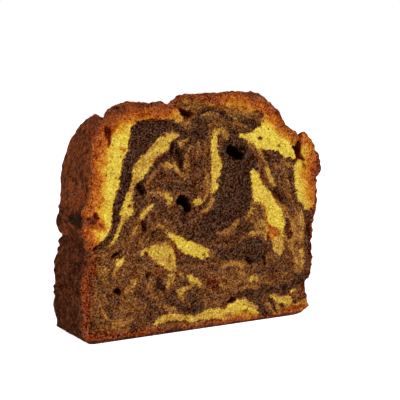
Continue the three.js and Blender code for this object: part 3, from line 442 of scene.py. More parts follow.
    (0.33, 0.8, [(11.6, 17.2, 0.6), (13.6, 16, 0.8), (16, 15.6, 0.6)]),
    (0.44, 0.7, [(11.4, 13.8, 0.6), (14.6, 13, 0.6)]),
    (0.22, 0.8, [(21.2, 15.8, 0.8), (22.6, 17, 1.2), (23.6, 16, 0.8)]),
    (0.40, 0.7, [(17, 12.7, 0.5), (19.8, 13.9, 0.7), (22.8, 13.6, 0.6)]),
    (0.34, 0.6, [(24.6, 14.6, 0.4), (27.4, 14.6, 0.6), (30, 13.9, 0.7), (32.2, 12.9, 0.6),
                 (33.8, 12.2, 0.4)]),
    (0.28, 0.6, [(35.4, 16.5, 0.6), (36.6, 17, 0.8), (37.8, 16.9, 0.5)]),
    (0.36, 0.7, [(35.4, 18.9, 0.8), (36.4, 19.4, 0.6)]),
    (0.82, 0.5, [(37.4, 18.7, 0.5), (37.7, 18.2, 0.5)]),
    (0.33, 1.0, [(40.2, 24.3, 0.8), (42, 24.8, 1.0), (43.4, 24, 0.7)]),
    (0.34, 1.1, [(43.8, 22.2, 1.1), (44.8, 20.2, 1.2), (44.2, 18.4, 0.9)]),
    (0.80, 1.2, [(41, 15.6, 1.0), (44.6, 14.6, 1.6), (46.4, 16, 1.2)]),
    # pale band along the base
    (0.15, 0.6, [(-19.6, 3.8, 0.5), (-17.4, 5, 1.0), (-14.6, 6.0, 1.5), (-11.5, 5.9, 1.3),
                 (-8, 5.0, 1.0), (-4, 4.0, 1.1), (-0.6, 4.6, 1.4), (3, 5.0, 1.9), (7, 4.7, 1.9),
                 (10.4, 4.4, 1.9), (13, 5.6, 2.8), (16.2, 6, 3.2), (19, 5.2, 3.0), (22, 4.2, 2.3),
                 (24, 3.0, 1.4)]),
    (0.50, 0.4, [(17.9, 4.5, 0.5), (19.4, 4.4, 0.5)]),
    (0.36, 0.8, [(10, 3.6, 0.5), (12.4, 4.2, 0.6)]),
    (0.14, 0.6, [(29.8, 8.8, 0.5), (31.8, 8.2, 0.9), (34, 7.3, 1.3), (36.6, 6.6, 1.4),
                 (38.8, 5.9, 1.8), (39.8, 4.4, 1.0)]),
    (0.24, 0.6, [(33.2, 5, 0.6), (34.4, 3.4, 0.9), (38.4, 2.8, 0.7), (42, 3, 0.9)]),
    # a black spot on a hollow, painted shade in it
    (0.88, 0.4, [(35.7, 5, 0.6), (36.7, 4.4, 0.5)]),
    (0.22, 0.6, [(40.3, 9.6, 0.8), (41.6, 9.9, 0.8)]),
    (0.86, 0.4, [(42.2, 9.8, 0.3), (42.5, 9.4, 0.3)]),
    (0.34, 0.5, [(26.4, 7.6, 0.7), (28, 6.7, 0.8), (29.4, 5.2, 0.7), (30.2, 3.8, 0.5)]),
    (0.34, 0.5, [(31.2, 3.8, 0.5), (31.7, 2, 0.6)]),
    (0.84, 0.5, [(29.4, 8.4, 0.6), (30.8, 6, 0.8), (32.2, 4.2, 0.7), (33.4, 2.2, 0.7), (33.8, 0.8, 0.6)]),
    (0.80, 0.6, [(24.4, 6, 0.6), (25.8, 4.4, 0.9), (27.2, 3, 0.9), (28.4, 1.6, 0.9)]),
    (0.50, 0.8, [(42.6, 7.4, 0.9), (44.6, 8.2, 1.8), (46, 10, 1.8)]),
    (0.70, 0.4, [(40.6, 4.8, 0.4), (42.6, 5.0, 0.35)]),
]

CRISP = 1.25  # the softest edge that still counts as crisp
FRINGE = 1.2  # how much wider a crisp edge is kept than its softness, in millimetres
EDGE_SHARE = 0.50  # the part of that kept edge, round its middle, in which the batters change
COVERED = 0.999  # the cover from which nothing of the batter below is left

# Amounts of cocoa, and how dark each looks on an even scale from 0 to 1.
COCOA_AMOUNTS = (0, 0.10, 0.22, 0.36, 0.50, 0.62, 0.75, 0.88, 1)
COCOA_TONES = (0.04, 0.14, 0.33, 0.53, 0.67, 0.74, 0.78, 0.81, 0.90)

# The flow of the batter, a map of directions with a place for each millimetre.
FLOW_HALF = 60.0  # how far the map runs to each side
FLOW_TOP = 90.0  # how high it runs
FLOW_REACH = 4.0  # how far a stroke's direction counts
FAINT_FLOW = (0.02, 0.04)  # a weak lean, which shows only where no stroke is near
STREAK_DEPTH = 0.6  # streaks change this much more slowly through the slice than across it

# Browned spots inside the cut, as strokes in the same way: how baked, how soft, where.
BROWNED = [
    (0.42, 1.2, [(31.8, 50, 0.6), (33.4, 48.8, 1.0), (35.2, 46.6, 0.9)]),
    (0.60, 0.8, [(42.4, 68, 0.6), (42.0, 65.4, 1.5), (42.8, 62.6, 0.8), (45.4, 61.2, 0.6)]),
    (0.92, 1.2, [(-42, 46, 0.5), (-41.3, 44.3, 0.8)]),
    (0.88, 1.0, [(-44.4, 44, 0.5), (-43.4, 44.2, 0.5)]),
    (0.80, 3.2, [(-48, 45, 1.6), (-45.4, 43.6, 2.4), (-42.6, 42.9, 2.6), (-40, 41.6, 1.6),
                 (-38.6, 40.8, 0.8)]),
    (0.64, 0.8, [(-37.4, 74.9, 0.9), (-36.8, 73.4, 1.3), (-36.4, 71.8, 0.9), (-36.4, 69.6, 0.4)]),
    (0.44, 0.9, [(-46.2, 47.5, 0.6), (-45, 47.2, 0.8), (-43.6, 46.9, 0.6)]),
    (0.40, 0.8, [(-38.8, 51.2, 0.6), (-38.4, 50.6, 0.6)]),
    (0.40, 1.2, [(-31.9, 67.8, 0.5), (-31, 67.0, 0.8)]),
    (0.50, 0.9, [(29.2, 37.3, 0.7), (30.0, 35.4, 1.2), (31.2, 34.0, 2.0), (33, 33.4, 1.1)]),
    (0.44, 0.9, [(29.2, 32.4, 0.8), (30.8, 32.0, 1.0)]),
    (0.26, 0.8, [(24.2, 70, 0.4), (25.2, 70.2, 0.5)]),
    (0.26, 2.4, [(11, 2.0, 1.2), (15, 2.4, 2.0), (19, 2.0, 1.8), (23, 1.6, 1.2)]),
    (0.86, 1.4, [(-14.6, 1.6, 0.7), (-11.6, 1.9, 0.9), (-9, 1.8, 0.5)]),
    (0.66, 1.4, [(2, 1.5, 0.8), (7.6, 1.6, 1.0)]),
    (0.50, 2.2, [(34.4, 1.6, 0.9), (40, 2.1, 1.2), (46.6, 3.2, 1.2)]),
    (1.0, 1.4, [(-47.4, 1.6, 1.0), (-44, 0.3, 1.2), (-26, 0, 1.4), (-12, 0, 1.3), (6, 0, 1.1),
                (14, 0, 1.0), (24, 0, 1.1)]),
    (1.0, 1.4, [(26, 0, 1.1), (34, 0, 1.2), (40.5, 0.2, 1.2), (45.2, 0.9, 0.9), (48.4, 2.0, 0.4)]),
    (0.73, 2.0, [(0.6, 85, 0.7), (4, 84.6, 1.3), (7.0, 83.4, 1.3)]),
    (0.30, 2.0, [(9, 83.2, 1.1), (13, 82.6, 1.1), (18, 81.4, 1.2), (22, 80.6, 0.8)]),
    (0.48, 1.6, [(16, 83.5, 0.5), (18.6, 83.3, 0.7), (20.4, 82.6, 0.6)]),
    (0.74, 2.0, [(-36.2, 79.4, 0.8), (-34.2, 78.5, 1.0), (-33, 77.6, 0.5)]),
    (0.40, 2.6, [(-34, 76.4, 1.2), (-31, 77.2, 1.6), (-27.4, 78, 1.4)]),
    (0.22, 3.0, [(-34, 73, 1.0), (-31, 74.6, 1.4)]),
    (0.30, 1.0, [(-12.2, 32.8, 0.8), (-11, 30.4, 0.8), (-10.2, 28, 0.7), (-7.6, 28.4, 0.5)]),
    (0.32, 1.2, [(-11, 79.2, 1.4), (-15, 80, 1.4), (-9, 77.6, 0.8)]),
    (0.36, 2.0, [(2, 18.6, 1.2), (3.6, 17, 1.8), (5.6, 15.4, 1.6)]),
    (0.28, 1.2, [(25.4, 57.6, 0.6), (26, 55.4, 0.8), (26.8, 53.2, 0.5)]),
    (0.40, 1.8, [(38.0, 35.4, 0.8), (38.4, 33.8, 1.2), (39, 31.8, 1.1)]),
    (0.36, 1.6, [(-17.8, 22.6, 1.2), (-15.8, 22.8, 1.0)]),
    (0.22, 1.6, [(-4, 66, 1.0), (-3.4, 60, 1.2), (-2.6, 54, 1.4)]),
    (0.22, 1.2, [(3.1, 68, 0.6), (3.0, 64, 0.7), (3.3, 58, 0.5)]),
    (0.22, 1.6, [(-17, 57.6, 1.4), (-13, 57, 1.4)]),
    (0.24, 1.2, [(8.8, 33, 0.9), (12, 32.6, 0.9)]),
    (0.26, 1.2, [(-16, 64.4, 1.2), (-18.6, 62.4, 0.9)]),
    (0.24, 1.4, [(43.4, 7.6, 1.4), (45.4, 9.4, 1.2)]),
    (0.24, 1.0, [(26.8, 45, 0.6), (28, 41, 0.6), (28.2, 38, 0.7)]),
    (0.50, 1.2, [(48.2, 53.2, 0.8), (48.6, 52.2, 0.8)]),
    (0.52, 1.2, [(49.6, 57.2, 1.0), (50.4, 55.4, 0.9)]),
]

# Crumb of the front cut that is torn, as an oval: x and z of the middle, half sizes.
TORN_CRUMB = ((-6.5, 82), (6.5, 5.0))

# Hollows of the front cut, sunk in the mesh and darkened with painted shade: how deep,
# how wide the edge's slope is, and then x, z and half width along the hollow.
PAINTED_SHADE_FRINGE = 0.8  # how much wider the slope of a hollow's painted shade is
PAINTED_SHADE_FROM, PAINTED_SHADE_FULL = 0.8, 3.4  # the depths at which the painted shade begins and is full
HOLLOWS = [
    (7.0, 0.6, [(11.5, 66.3, 1.0), (12.6, 65.6, 1.6), (14.6, 64.5, 1.6), (16.4, 63.6, 1.2)]),
    (2.0, 0.5, [(16.6, 66.4, 0.5), (17.8, 66.5, 0.4)]),
    (6.0, 0.6, [(-9.8, 47.9, 0.8), (-8.2, 48.4, 1.4), (-6.9, 47.0, 1.2), (-6.0, 45.4, 1.2)]),
    (1.2, 1.2, [(-7, 44.2, 0.8), (-7, 42.2, 0.8)]),
    (2.5, 0.9, [(-9, 80.9, 0.4), (-7.6, 80.2, 0.7), (-6.3, 79.5, 0.8), (-4.8, 79.3, 0.6),
                (-3.8, 79.7, 0.2)]),
    (1.4, 0.6, [(-6.8, 79.2, 0.5), (-6.4, 78.3, 0.4)]),
    (2.0, 0.9, [(-37.2, 75.2, 0.4), (-36.7, 73.7, 0.95), (-36.4, 72.0, 0.65), (-36.3, 70.4, 0.3),
                (-36.5, 69.0, 0.1)]),
    (1.0, 0.9, [(-39.6, 78.0, 0.4), (-38.6, 78.2, 0.5)]),
    (2.6, 0.6, [(42.4, 68.4, 0.4), (42.2, 67.0, 0.8), (41.9, 65.4, 1.2), (42.3, 63.8, 0.9),
                (42.6, 62.4, 0.6)]),
    (2.0, 0.5, [(42.8, 63.4, 0.5), (43.8, 62.6, 0.5), (45.2, 61.4, 0.45)]),
    (1.4, 0.5, [(44.8, 60.1, 0.2), (45.8, 59.2, 0.3), (46.4, 58.7, 0.2)]),
    (2.2, 0.5, [(39.8, 66.5, 0.3), (40.6, 65.8, 0.5), (41.4, 65.4, 0.7)]),
    (4.6, 0.4, [(11.7, 9.1, 0.45), (12.7, 9.2, 0.7), (13.7, 9.1, 0.45)]),
    (4.0, 0.5, [(-33.9, 17.9, 0.8), (-33.3, 17.3, 0.8)]),
    (1.6, 0.5, [(-41.7, 45.6, 0.4), (-41.3, 44.5, 0.6)]),
    (1.4, 0.5, [(-44.0, 43.9, 0.5), (-43.4, 44.2, 0.3)]),
    (1.3, 0.5, [(-42.6, 42.6, 0.3), (-42.2, 42.2, 0.4)]),
    (2.4, 0.6, [(-35.3, 30.2, 0.4), (-34.2, 30.7, 0.5), (-33.4, 31.0, 0.3)]),
    (2.2, 0.6, [(-22.5, 30.1, 0.35), (-22, 29.8, 0.4)]),
    (2.0, 0.6, [(-22.5, 22.5, 0.4), (-22.2, 21.9, 0.5)]),
    (2.0, 0.5, [(-29, 47.3, 0.35), (-28.4, 47.4, 0.4)]),
    (1.9, 0.6, [(19.5, 24.5, 0.45), (20.7, 23.1, 0.4)]),
    (2.0, 0.5, [(26.8, 24.5, 0.3), (27.3, 23.4, 0.1), (27.7, 22.2, 0.5)]),
    (1.2, 0.5, [(37.3, 11.8, 0.3), (36.2, 11.6, 0.5)]),
    (1.8, 0.8, [(-12.1, 69.0, 0.5), (-12.2, 67, 0.6), (-12.0, 66, 0.4)]),
    (1.6, 0.8, [(-9.6, 66, 0.9), (-8.9, 63.4, 0.9), (-8.7, 61.2, 0.5)]),
    (1.9, 0.8, [(-25.2, 54.4, 0.5), (-24.4, 53.2, 0.9), (-23.8, 52, 0.4)]),
    (1.4, 1.0, [(30.8, 49.6, 0.5), (32.2, 48.6, 1.1), (33.6, 47.2, 1.1), (35.2, 45.8, 0.7)]),
    (0.9, 0.5, [(28.4, 54.4, 0.25), (29.3, 54.1, 0.2)]),
    (0.9, 0.5, [(28.2, 53.2, 0.25), (28.6, 51.6, 0.25), (29.4, 50.2, 0.2)]),
    (1.7, 0.7, [(-23.9, 41.8, 0.4), (-23.2, 40.4, 0.6), (-22.9, 38.8, 0.6)]),
    (1.3, 0.8, [(-17.6, 19.8, 0.8), (-17.4, 18.0, 1.0)]),
    (0.9, 0.8, [(-9.4, 9.6, 0.8), (-7, 8, 0.9), (-3, 7.0, 0.9)]),
    (0.9, 0.4, [(-12.4, 8.0, 0.3), (-11.8, 8.0, 0.3)]),
    (1.1, 0.4, [(35.8, 4.9, 0.4), (36.6, 4.4, 0.3)]),
    (0.9, 0.4, [(0.9, 14.4, 0.2), (1.8, 14.5, 0.2)]),
]

# ---- noise -------------------------------------------------------------------

# A shift takes a noise from another part of the lattice, so that no field looks like
# another. Where a noise makes relief, its factor is its height and its size its
# width, in millimetres.
AXIS_FACTORS = (0x27D4EB2D, 0x165667B1, 0x9E3779B1)  # odd numbers that part the lattice's axes
STIRS = ((15, 0x85EBCA6B), (13, 0xC2B2AE35))  # bits to shift by, and odd numbers to multiply by
LAST_STIR = 16  # bits to shift by at the end
TURN_XZ = (0.857, 0.515)  # cosine and sine of 31 degrees
TURN_YZ = (0.921, 0.390)  # cosine and sine of 23 degrees
SLANT = 0.37  # how far a shift of 1 along X goes along Y
LAYER_SHIFT = 7.3  # from one layer of rough lumps to the next


def lattice(i, j, k):
    """A repeatable number from 0 to 1 for each point of a cubic lattice: its counts
    times odd numbers, joined by exclusive or, and the bits stirred."""
    with np.errstate(over="ignore"):
        mark = np.uint32(0)
        for count, factor in zip((i, j, k), AXIS_FACTORS):
            mark = mark ^ count.astype(np.uint32) * np.uint32(factor)
        for bits, factor in STIRS:
            mark = (mark ^ mark >> np.uint32(bits)) * np.uint32(factor)
    return (mark ^ mark >> np.uint32(LAST_STIR)) / 2.0 ** 32


def ease(t):
    """0 below 0, 1 above 1, and 3t^2 - 2t^3 between."""
    t = np.clip(t, 0.0, 1.0)
    return t * t * (3 - 2 * t)


def rise(value, low, high):
    """0 up to low, 1 from high on, and eased between."""
    return ease((value - low) / (high - low))


def turned(x, y, z, size, shift):
    """Coordinates counted in sizes, turned so that no cut or wall lies along the
    lattice, and shifted to another part of it."""
    x, y, z = (np.asarray(a, float) / size for a in (x, y, z))
    cosine, sine = TURN_XZ
    x, z = cosine * x - sine * z, sine * x + cosine * z
    cosine, sine = TURN_YZ
    y, z = cosine * y - sine * z, sine * y + cosine * z
    return np.broadcast_arrays(x + shift, y + SLANT * shift, z)


def lumps(x, y, z, size, shift=0.0):
    """Smooth lumps from -1 to 1, one size wide: lattice values, blended in each cell."""
    x, y, z = turned(x, y, z, size, shift)
    cell = [np.floor(a).astype(np.int64) for a in (x, y, z)]
    part = [ease(a - c) for a, c in zip((x, y, z), cell)]
    total = 0.0
    for corner in range(8):
        weight = 1.0
        step = [corner >> axis & 1 for axis in range(3)]
        for f, s in zip(part, step):
            weight = weight * (f if s else 1 - f)
        total = total + weight * lattice(*(c + s for c, s in zip(cell, step)))
    return 2 * total - 1


def rough(x, y, z, size, layers, shift):
    """Lumps, with smaller ones of half the size and height on them, and so on, over the
    sum of the layers' heights: about -1 to 1."""
    heights = [0.5 ** n for n in range(layers)]
    total = sum(height * lumps(x, y, z, size * height, shift + LAYER_SHIFT * n)
                for n, height in enumerate(heights))
    return total / sum(heights)


def pores(x, y, z, size, share, shift):
    """Round pits: 1 in the middle of a pit, 0 at its edge and outside. A share of the
    lattice's cells hold one pit each, with its middle 0.15 to 0.85 of the way across
    and 0.25 to 0.55 cells in radius. Its depth is 1 - (distance / radius)^2. Steps of
    31, 57 and 91 along the lattice fetch numbers that don't go with the cell's own."""
    x, y, z = turned(x, y, z, size, shift)
    cell = [np.floor(a).astype(np.int64) for a in (x, y, z)]
    deepest = np.zeros(x.shape)
    for step in np.ndindex(3, 3, 3):
        i, j, k = (c + s - 1 for c, s in zip(cell, step))
        seed = lattice(i, j, k)
        away = [a - c - 0.15 - 0.7 * lattice(i + 31 * n, j + 57, k)
                for n, (a, c) in enumerate(zip((x, y, z), (i, j, k)))]
        radius = 0.25 + 0.3 * lattice(i, j + 91, k)
        pit = 1 - (away[0] ** 2 + away[1] ** 2 + away[2] ** 2) / radius ** 2
        deepest = np.where(seed < share, np.maximum(deepest, pit), deepest)
    return deepest


def oval(a, b, middle, half):
    """How far each place is from the middle of an oval: 1 on its edge, 2 twice as far."""
    return np.hypot((a - middle[0]) / half[0], (b - middle[1]) / half[1])


# ---- strokes -----------------------------------------------------------------

CURVE_STEPS = 6  # steps of a stroke's curve from one of its points to the next
TINY = 1e-9  # keeps a step of no length from dividing by 0


def curve_through(points):
    """Catmull-Rom curve through the rows of points, with even steps in each gap."""
    p = np.asarray(points, float)
    p = np.vstack([2 * p[0] - p[1], p, 2 * p[-1] - p[-2]])
    t = np.linspace(0, 1, CURVE_STEPS, endpoint=False)[None, :, None]
    a, b, c, d = (p[n:len(p) - 3 + n, None] for n in range(4))
    run = b + 0.5 * t * (c - a + t * (2 * a - 5 * b + 4 * c - d + t * (3 * b - a - 3 * c + d)))
    return np.vstack([run.reshape(-1, p.shape[1]), p[-2]])


def stroke_cover(points, softness, x, z):
    """How fully a stroke covers each place: half at its own width, all or nothing
    half a softness inside or outside it."""
    run = curve_through(points)
    reach = run[:, 2].max() + softness
    near = ((x > run[:, 0].min() - reach) & (x < run[:, 0].max() + reach)
            & (z > run[:, 1].min() - reach) & (z < run[:, 1].max() + reach))
    px, pz = x[near], z[near]
    inside = np.full(px.shape, -reach)
    for (ax, az, aw), (bx, bz, bw) in zip(run[:-1], run[1:]):
        dx, dz = bx - ax, bz - az
        t = np.clip(((px - ax) * dx + (pz - az) * dz) / (dx * dx + dz * dz + TINY), 0, 1)
        away = np.hypot(px - ax - t * dx, pz - az - t * dz)
        inside = np.maximum(inside, aw + t * (bw - aw) - away)
    cover = np.zeros(x.shape)
    cover[near] = ease(0.5 + inside / softness)
    return cover


def paint(strokes, x, z):
    """Lays the strokes over 0, one after another: each takes a place's value towards
    its own as far as it covers the place."""
    value = np.zeros(x.shape)
    for amount, softness, points in strokes:
        value += stroke_cover(points, softness, x, z) * (amount - value)
    return value


def lay_batter(strokes, x, z):
    """Lays the strokes of batter over the ground, and keeps the edges of the crisp ones
    for the finish to break up: the values on the two sides of the nearest edge, and how
    far across the edge each place is. 0 is the first side, 1 the second. The side that
    a place was on before a stroke keeps its number, so the three run on smoothly."""
    first = np.full(x.shape, GROUND)
    second = first.copy()
    across = np.zeros(x.shape)
    for amount, softness, points in strokes:
        if softness > CRISP:
            cover = stroke_cover(points, softness, x, z)
            first += cover * (amount - first)
            second += cover * (amount - second)
            continue
        cover = stroke_cover(points, softness + FRINGE, x, z)
        nearer = (cover > 0) & ((cover > 0.5) | (abs(cover - 0.5) < abs(across - 0.5)))
        under = first + ease(0.5 + (across - 0.5) / EDGE_SHARE) * (second - first)
        under = np.where(cover > COVERED, amount, under)
        turned_over = across > 0.5
        first = np.where(nearer, np.where(turned_over, amount, under), first)
        second = np.where(nearer, np.where(turned_over, under, amount), second)
        across = np.where(nearer, np.where(turned_over, 1 - cover, cover), across)
    return first, second, across


# ---- the section and its crust -------------------------------------------------

SIDE_STEPS = 24  # steps of a side's curve from one station to the next
SHORTEST_GAP = 1e-6  # between two stations
CHORD = 4  # points each way that a normal is taken over
ON_TABLE = 0.02  # the section rests on the table up to this height


def smooth_side(stations, part, count):
    """One side of the section at every depth, as count + 1 points with even steps.

    part holds the depths, 0 at the front cut and 1 at the back. The curve is a
    centripetal Catmull-Rom: its knots are spaced by the square root of the gaps."""
    table = np.asarray(stations, float)
    p = table[None, :, :2] + part[:, None, None] * (table[None, :, 2:] - table[None, :, :2])
    p = np.concatenate([2 * p[:, :1] - p[:, 1:2], p, 2 * p[:, -1:] - p[:, -2:-1]], axis=1)
    gaps = np.linalg.norm(np.diff(p, axis=1), axis=2)
    knot = np.maximum(gaps, SHORTEST_GAP)[..., None] ** 0.5
    a, b, c, d = (p[:, n:p.shape[1] - 3 + n] for n in range(4))
    k0, k1, k2 = (knot[:, n:knot.shape[1] - 2 + n] for n in range(3))
    out = ((b - a) / k0 - (c - a) / (k0 + k1) + (c - b) / k1) * k1
    back = ((c - b) / k1 - (d - b) / (k1 + k2) + (d - c) / k2) * k1
    t = np.linspace(0, 1, SIDE_STEPS, endpoint=False)[None, None, :, None]
    b, c, out, back = (v[:, :, None] for v in (b, c, out, back))
    run = b + t * out + t ** 2 * (3 * (c - b) - 2 * out - back) + t ** 3 * (2 * (b - c) + out + back)
    run = np.concatenate([run.reshape(len(part), -1, 2), p[:, -2:-1]], axis=1)
    along = np.cumsum(np.linalg.norm(np.diff(run, axis=1), axis=2), axis=1)
    along = np.concatenate([np.zeros((len(part), 1)), along / along[:, -1:]], axis=1)
    even = np.linspace(0, 1, count + 1)
    return np.stack([[np.interp(even, s, r[:, n]) for s, r in zip(along, run)] for n in (0, 1)], -1)


def outline(part):
    """The section as closed loops: along the base, up the right wall, back over the
    top and down the left wall."""
    base = smooth_side(BASE, part, CELLS_ACROSS)
    right = smooth_side(RIGHT_WALL, part, CELLS_UP)
    top = smooth_side(TOP, part, CELLS_ACROSS)[:, ::-1]
    left = smooth_side(LEFT_WALL, part, CELLS_UP)[:, ::-1]
    return np.concatenate([side[:, :-1] for side in (base, right, top, left)], axis=1)


def outward(loops):
    """Unit normals of the loops: the chord over a few points each way, turned by 90
    degrees."""
    chord = np.roll(loops, -CHORD, axis=1) - np.roll(loops, CHORD, axis=1)
    chord /= np.linalg.norm(chord, axis=2, keepdims=True)
    return np.stack([chord[..., 1], -chord[..., 0]], -1)


def crust_relief(x, y, z):
    """How far the crust stands out: wide lumps, larger on the dome, with a rough
    porous skin where it baked against the tin and a calmer one above the left lip."""
    dome = rise(z, *DOME)
    left = x < 0
    calm = left * rise(z, *CALM_BEGINS) * (1 - rise(z, *CALM_ENDS))
    wide = 0.45 * lumps(x, y, z, 6) * (1 - dome) + 0.9 * lumps(x, y, z, 9) * dome
    coarse = (0.60 - 0.35 * calm) * rough(x, y, z, 3.1, 2, 11)
    fine = (0.55 - 0.40 * calm) * rough(x, y, z, 1.3, 1, 23)
    pits = (0.75 - 0.55 * calm) * pores(x, y, z, 2.6, 0.45, 5)
    lip = left * ease(1 - abs(z - LIP_HEIGHT) / 7) * 0.9 * lumps(x, y, z, 2.8, 37)
    return rise(z, *OFF_THE_TABLE) * (wide + coarse + fine - pits + lip)


def cleft_depth(x, y, z):
    """How deep the clefts of the top cut in: full depth near the cleft's own line,
    nothing from one and a quarter half widths on, with an uneven edge."""
    part = (y - FRONT) / THICKNESS
    ragged = 0.6 * rough(x, y, z, 2.2, 2, 51)
    depth = np.zeros(x.shape)
    for fx, fz, bx, bz, half, deep in CLEFTS:
        away = np.hypot(x - fx - part * (bx - fx), z - fz - part * (bz - fz))
        depth = np.maximum(depth, deep * ease(1.25 - (away + ragged) / half))
    return depth


def crust_loops(smooth, y, cleft):
    """The crust as loops of points: each point of the smooth section moves outward by
    the crust's relief, less the clefts, and the base stays flat on the table."""
    x, z = smooth[..., 0], smooth[..., 1]
    relief = crust_relief(x - STATIONS_SHIFT, y, z) - cleft
    loops = smooth + outward(smooth) * relief[..., None]
    loops[..., 1] = np.maximum(loops[..., 1], 0)
    loops[z <= ON_TABLE, 1] = 0
    return loops


def rim_values(front_loop):
    """The RIM table carried round the loop: reach, edge and skin at each point."""
    table = np.array(RIM)
    place = table[:, :2] + (MIDDLE_OF_BASE, 0)
    gap = np.linalg.norm(front_loop[None] - place[:, None], axis=2)
    at = gap.argmin(axis=1)
    order = np.argsort(at)
    count = len(front_loop)
    return [np.interp(np.arange(count), at[order], table[order, n], period=count) for n in (2, 3, 4)]


def skin_browning(x, y, z, skin, cleft):
    """How baked the crust's skin is: blotches and flecks, a redder edge next to the
    front cut, a torn left lip with a much darker patch, and paler crumb in the clefts."""
    blotches = 0.07 * rough(x, y, z, 9, 3, 97)
    flecks = 0.10 * rough(x, y, z, 1.8, 2, 101)
    left = x < 0
    near_cut = 0.20 * ease(1 - (y - FRONT) / 2.0) * rise(z, *REDDER)
    away = oval(y, z, *LIP_DARK_PATCH) + 0.5 * rough(x, y, z, 3.2, 2, 103)
    dark_patch = 0.55 * left * ease(1.5 - away)
    away = oval(y, z, *LIP_TEAR) + 0.4 * rough(x, y, z, 2.4, 2, 113)
    torn = left * ease(1.3 - away) * (0.10 - 0.35 * rough(x, y, z, 1.8, 2, 127))
    scuff = 0.08 * left * ease(1.4 - oval(y, z, *SCUFF))
    bare = rise(cleft, 0, DEEP_CLEFT)
    return skin + blotches + flecks - near_cut + dark_patch - torn - scuff - 0.45 * bare


# ---- the cut faces -------------------------------------------------------------

RIM_FADE = 14  # the power by which a rim's unevenness dies out in the face
LASTING = (64, 72)  # heights between which the rim's browning comes to last further in
UPPER_RIM, DOME_RIM = 60, (76, 80)  # heights from which the rim has its thin brown lines
INNER = np.s_[1:-1, 1:-1]  # a face's own points: those of its rim are the crust's


def coons(base, right, top, left, power):
    """Fills a loop: opposite sides are blended, the two results added, and what the
    corners alone would give taken away. power makes a side's part die out sooner."""
    u = np.linspace(0, 1, len(base))[None, :, None]
    v = np.linspace(0, 1, len(left))[:, None, None]
    u0, u1, v0, v1 = (1 - u) ** power, u ** power, (1 - v) ** power, v ** power
    up = v0 * base[None] + v1 * top[None]
    across = u0 * left[:, None] + u1 * right[:, None]
    corners = u0 * (v0 * base[0] + v1 * top[0]) + u1 * (v0 * base[-1] + v1 * top[-1])
    return up + across - corners


def sides_of(loop):
    """The four sides of a loop, each from its lower or left end: base, right, top, left."""
    turn = np.concatenate([loop, loop[:1]])
    right = CELLS_ACROSS
    top = right + CELLS_UP
    left = top + CELLS_ACROSS
    return turn[:right + 1], turn[right:top + 1], turn[top:left + 1][::-1], turn[left:][::-1]


def fill_face(smooth, rim):
    """Points of a cut face: the smooth section is filled evenly, and the unevenness
    of its rim dies out a few millimetres in."""
    return coons(*sides_of(smooth), 1) + coons(*sides_of(rim - smooth), RIM_FADE)


def rim_distance(points, smooth):
    """How far each point is from the loop, and which point of the loop is nearest.
    Row by row, because all the distances at once would fill the memory."""
    away = np.empty(points.shape[:2])
    nearest = np.empty(points.shape[:2], int)
    for row, line in enumerate(points):
        gap = np.hypot(line[:, None, 0] - smooth[None, :, 0], line[:, None, 1] - smooth[None, :, 1])
        nearest[row] = gap.argmin(axis=1)
        away[row] = gap.min(axis=1)
    return away, nearest


def crumb_relief(x, y, z, away):
    """How far the crumb lies behind the cut: a soft sag, crumbs and small pores."""
    sag = 0.25 + 0.25 * lumps(x, y, z, 7)
    crumbs = 0.34 * rough(x, y, z, 1.7, 2, 61)
    small = 0.5 * pores(x, y, z, 2.1, 0.36, 13)
    large = 0.8 * ease(pores(x, y, z, 4.6, 0.14, 29))
    return rise(away, 0, 2.5) * (sag + small + large) + rise(away, 0, 0.8) * crumbs


def carve_front(x, y, z, away, sink, bent):
    """Adds the torn crumb under the dome and the hollows to the relief of the front
    cut, and gives each place inside them its painted shade. bent is the place in
    the strokes' own millimetres."""
    torn = ease(1 - oval(x - MIDDLE_OF_BASE, z, *TORN_CRUMB))
    sink = sink + torn * (0.8 + 1.2 * rough(x, y, z, 2.4, 2, 139)) * rise(away, 0, 1.2)
    uneven = 0.85 + 0.15 * lumps(x, y, z, 1.5)
    painted_shade = np.zeros(x.shape)
    for deep, slope, line in HOLLOWS:
        sink = np.maximum(sink, stroke_cover(line, slope, *bent) * deep * uneven)
        # painted shade, on a slope wider than the hollow's own, full from a given depth on
        shade = ease(2.4 * stroke_cover(line, slope + PAINTED_SHADE_FRINGE, *bent))
        painted_shade = np.maximum(painted_shade, shade * np.interp(deep, (PAINTED_SHADE_FROM, PAINTED_SHADE_FULL), (0, 1)))
    return sink, painted_shade


def face_browning(x, y, z, away, reach, edge):
    """How baked a cut face is: the rim's browning times 1 - (distance / reach)^p, where
    p is 1.3 below and 2.1 on the dome, with thin browner lines along the upper rim."""
    away = away + 0.9 * rough(x, y, z, 3.0, 3, 107)
    fall = 1 - np.clip(away / reach, 0, 1) ** (1.3 + 0.8 * rise(z, *LASTING))
    brown = edge * fall * (1 + 0.20 * rough(x, y, z, 1.9, 2, 109))
    brown += 0.08 * ease(1.3 - away) * (z > UPPER_RIM)
    return brown + 0.08 * ease(1.6 - away) * rise(z, *DOME_RIM)


